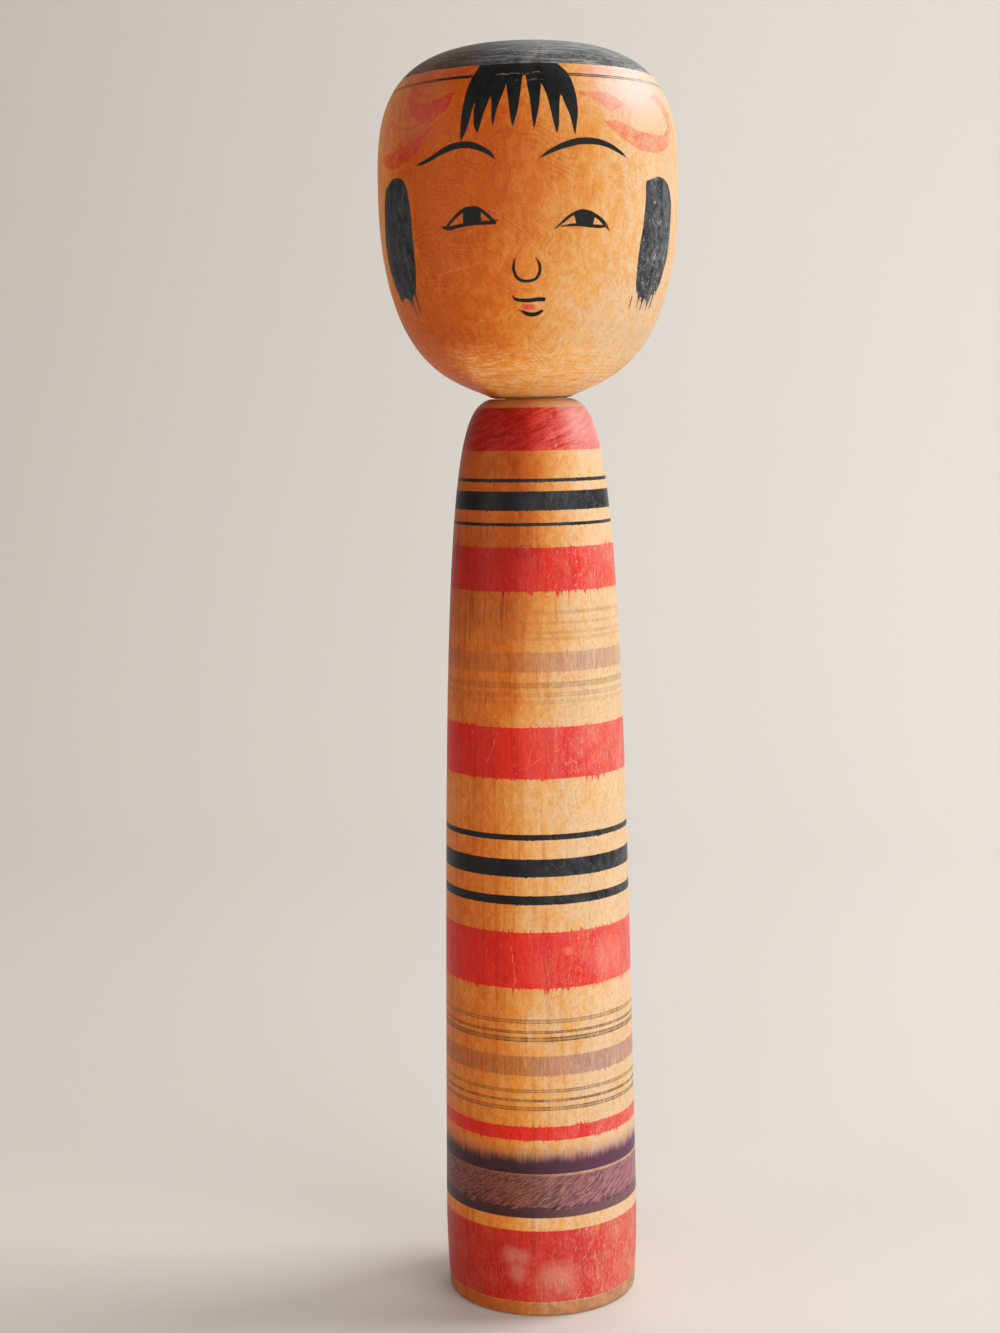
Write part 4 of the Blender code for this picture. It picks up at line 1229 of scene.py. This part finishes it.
    # Painted highlight: a whitish patch on the crown's right side
    fromHighlight = compute("LENGTH", (unrolled - (30.0, 70.0, 0.0)) / (17.0, 12.0, 1.0))
    crownHighlight = ramp(fromHighlight, 1.1, 0.1, 0.0, 0.74) * (1.0 - inkMask)
    crownHighlight = crownHighlight * ramp(noise(place, (0.5, 0.5, 1.4), 4.0, 0.75), 0.3, 0.6, 0.6, 1.0)
    colour = blend(crownHighlight, colour, (0.85, 0.66, 0.66))
    # Painted sheen, pale and pinkish, on the upper left of the forehead
    foreheadSheen = ramp(z, 54.0, 62.0, 0.0, 0.06) * ramp(across, -14.0, -25.0)
    colour = blend(foreheadSheen * (1.0 - inkMask), colour, (0.8, 0.62, 0.56))

    scratches = marked(lineScratch, shaken, headMarks["scratches"], headMarks["arcRadius"], width=0.15)
    nicked = scratches * ramp(noise(place, 0.8, 3.0, 0.7), 0.38, 0.62)
    colour = blend(nicked * 0.3, colour, (0.84, 0.62, 0.42))
    # Painted shade at the seam, darkening the head's underside
    neck = ramp(z, 0.5, -0.1)
    colour = blend(neck * 0.75, colour, (0.16, 0.06, 0.025))

    rough = 0.46 + (wood["Fibre"] - 0.5) * 0.16 + ink["Film"] * ink["Dull"] * 0.1
    height = wood["Height"] * 0.5 + ink["Film"] * 0.35 + streak * chin * 0.35 - curl * 0.3 - nicked * 0.9
    coat(shader, colour, rough, height)
    return material


headShell = makeHead()
headShell.data.materials.append(headFinish())
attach(headShell, "head")
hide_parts("head")
print("head turned and painted")


# Studio, in metres: a pale floor that curves up behind, soft light, and the photograph's camera

studio = {
    "floorFront": -1.6, "floorBack": 1.1, "wallHeight": 2.2, "curve": 0.6, "halfWidth": 2.6,
    "floorColour": (0.77, 0.745, 0.71, 1.0), "floorRough": 0.8, "floorShine": 0.2,
    "ambient": (0.17, 0.165, 0.158), "backdrop": (0.88, 0.86, 0.83),
}


def makeFloor():
    # A profile of floor, quarter arc and wall, carried straight across in x.
    bend = np.linspace(0, np.pi / 2, 24)
    back, curve = studio["floorBack"], studio["curve"]
    y = np.concatenate([[studio["floorFront"]], back - curve + curve * np.sin(bend), [back]])
    z = np.concatenate([[0.0], curve * (1 - np.cos(bend)), [studio["wallHeight"]]])
    x = np.linspace(-studio["halfWidth"], studio["halfWidth"], 9)
    grid = np.stack(np.broadcast_arrays(x[None, :], y[:, None], z[:, None]), axis=2)
    i, j = np.meshgrid(np.arange(len(y) - 1), np.arange(len(x) - 1), indexing="ij")
    at = i * len(x) + j
    faces = np.stack([at, at + 1, at + len(x) + 1, at + len(x)], axis=2).reshape(-1, 4)
    mesh = bpy.data.meshes.new("floorSweep")
    mesh.from_pydata(grid.reshape(-1, 3).tolist(), [], faces.tolist())
    mesh.shade_smooth()
    floor = bpy.data.objects.new("floorSweep", mesh)
    bpy.context.scene.collection.objects.link(floor)
    material = bpy.data.materials.new("floorPaper")
    material.use_nodes = True
    shader = material.node_tree.nodes["Principled BSDF"]
    shader.inputs["Base Color"].default_value = studio["floorColour"]
    shader.inputs["Roughness"].default_value = studio["floorRough"]
    shader.inputs["Specular IOR Level"].default_value = studio["floorShine"]
    mesh.materials.append(material)


lampTarget = (0.0, 0.0, 0.17)
lamps = {
    # name: (place, size, watts, colour)
    "sunBehind": ((0.80, 0.24, 1.00), 0.55, 8.7, (1.0, 0.98, 0.96)),
    "skylight": ((0.30, 0.75, 1.15), 1.0, 4.0, (1.0, 0.98, 0.96)),
    "sunFront": ((0.85, -0.95, 0.50), 1.0, 8.0, (1.0, 0.98, 0.95)),
    "frontFill": ((-0.10, -1.20, 0.14), 0.6, 4.8, (1.0, 0.95, 0.88)),
    "leftFill": ((-0.95, -0.50, 0.22), 0.6, 2.6, (1.0, 0.86, 0.70)),
}


def makeLights():
    # Square lamps that face one point, and a world that lights with one shade and shows another.
    for name, (place, size, watts, colour) in lamps.items():
        light = bpy.data.lights.new(name, "AREA")
        light.size = size
        light.energy = watts
        light.color = colour
        lamp = bpy.data.objects.new(name, light)
        lamp.location = place
        aim = Vector(lampTarget) - Vector(place)
        lamp.rotation_mode = "QUATERNION"
        lamp.rotation_quaternion = aim.to_track_quat("-Z", "Y")
        bpy.context.scene.collection.objects.link(lamp)
    world = bpy.data.worlds.new("studioAir")
    world.use_nodes = True
    bpy.context.scene.world = world
    background = world.node_tree.nodes["Background"]
    seen = Wire(addNode(world.node_tree, "ShaderNodeLightPath", {}).outputs["Is Camera Ray"])
    plug(background.inputs["Color"], blend(seen, studio["ambient"], studio["backdrop"]))


# The place in metres, the angles in degrees and the lens in millimetres
camera = {"place": (0.00989, -0.52297, 0.22057), "down": 7.04, "turn": 2.0, "roll": -0.887, "lens": 58.33}


def makeCamera():
    # Looks along its own -Z: tipped down from level, turned about the upright and rolled.
    data = bpy.data.cameras.new("photoCamera")
    data.lens = camera["lens"]
    data.sensor_width = 36.0
    data.clip_start, data.clip_end = 0.01, 20.0
    eye = bpy.data.objects.new("photoCamera", data)
    turn = Matrix.Rotation(radians(camera["turn"]), 4, "Z")
    down = Matrix.Rotation(radians(90 - camera["down"]), 4, "X")
    roll = Matrix.Rotation(radians(camera["roll"]), 4, "Z")
    eye.matrix_world = Matrix.Translation(camera["place"]) @ turn @ down @ roll
    bpy.context.scene.collection.objects.link(eye)
    bpy.context.scene.camera = eye


makeFloor()
makeLights()
makeCamera()
bpy.context.scene.view_settings.view_transform = "Standard"
print("studio ready")
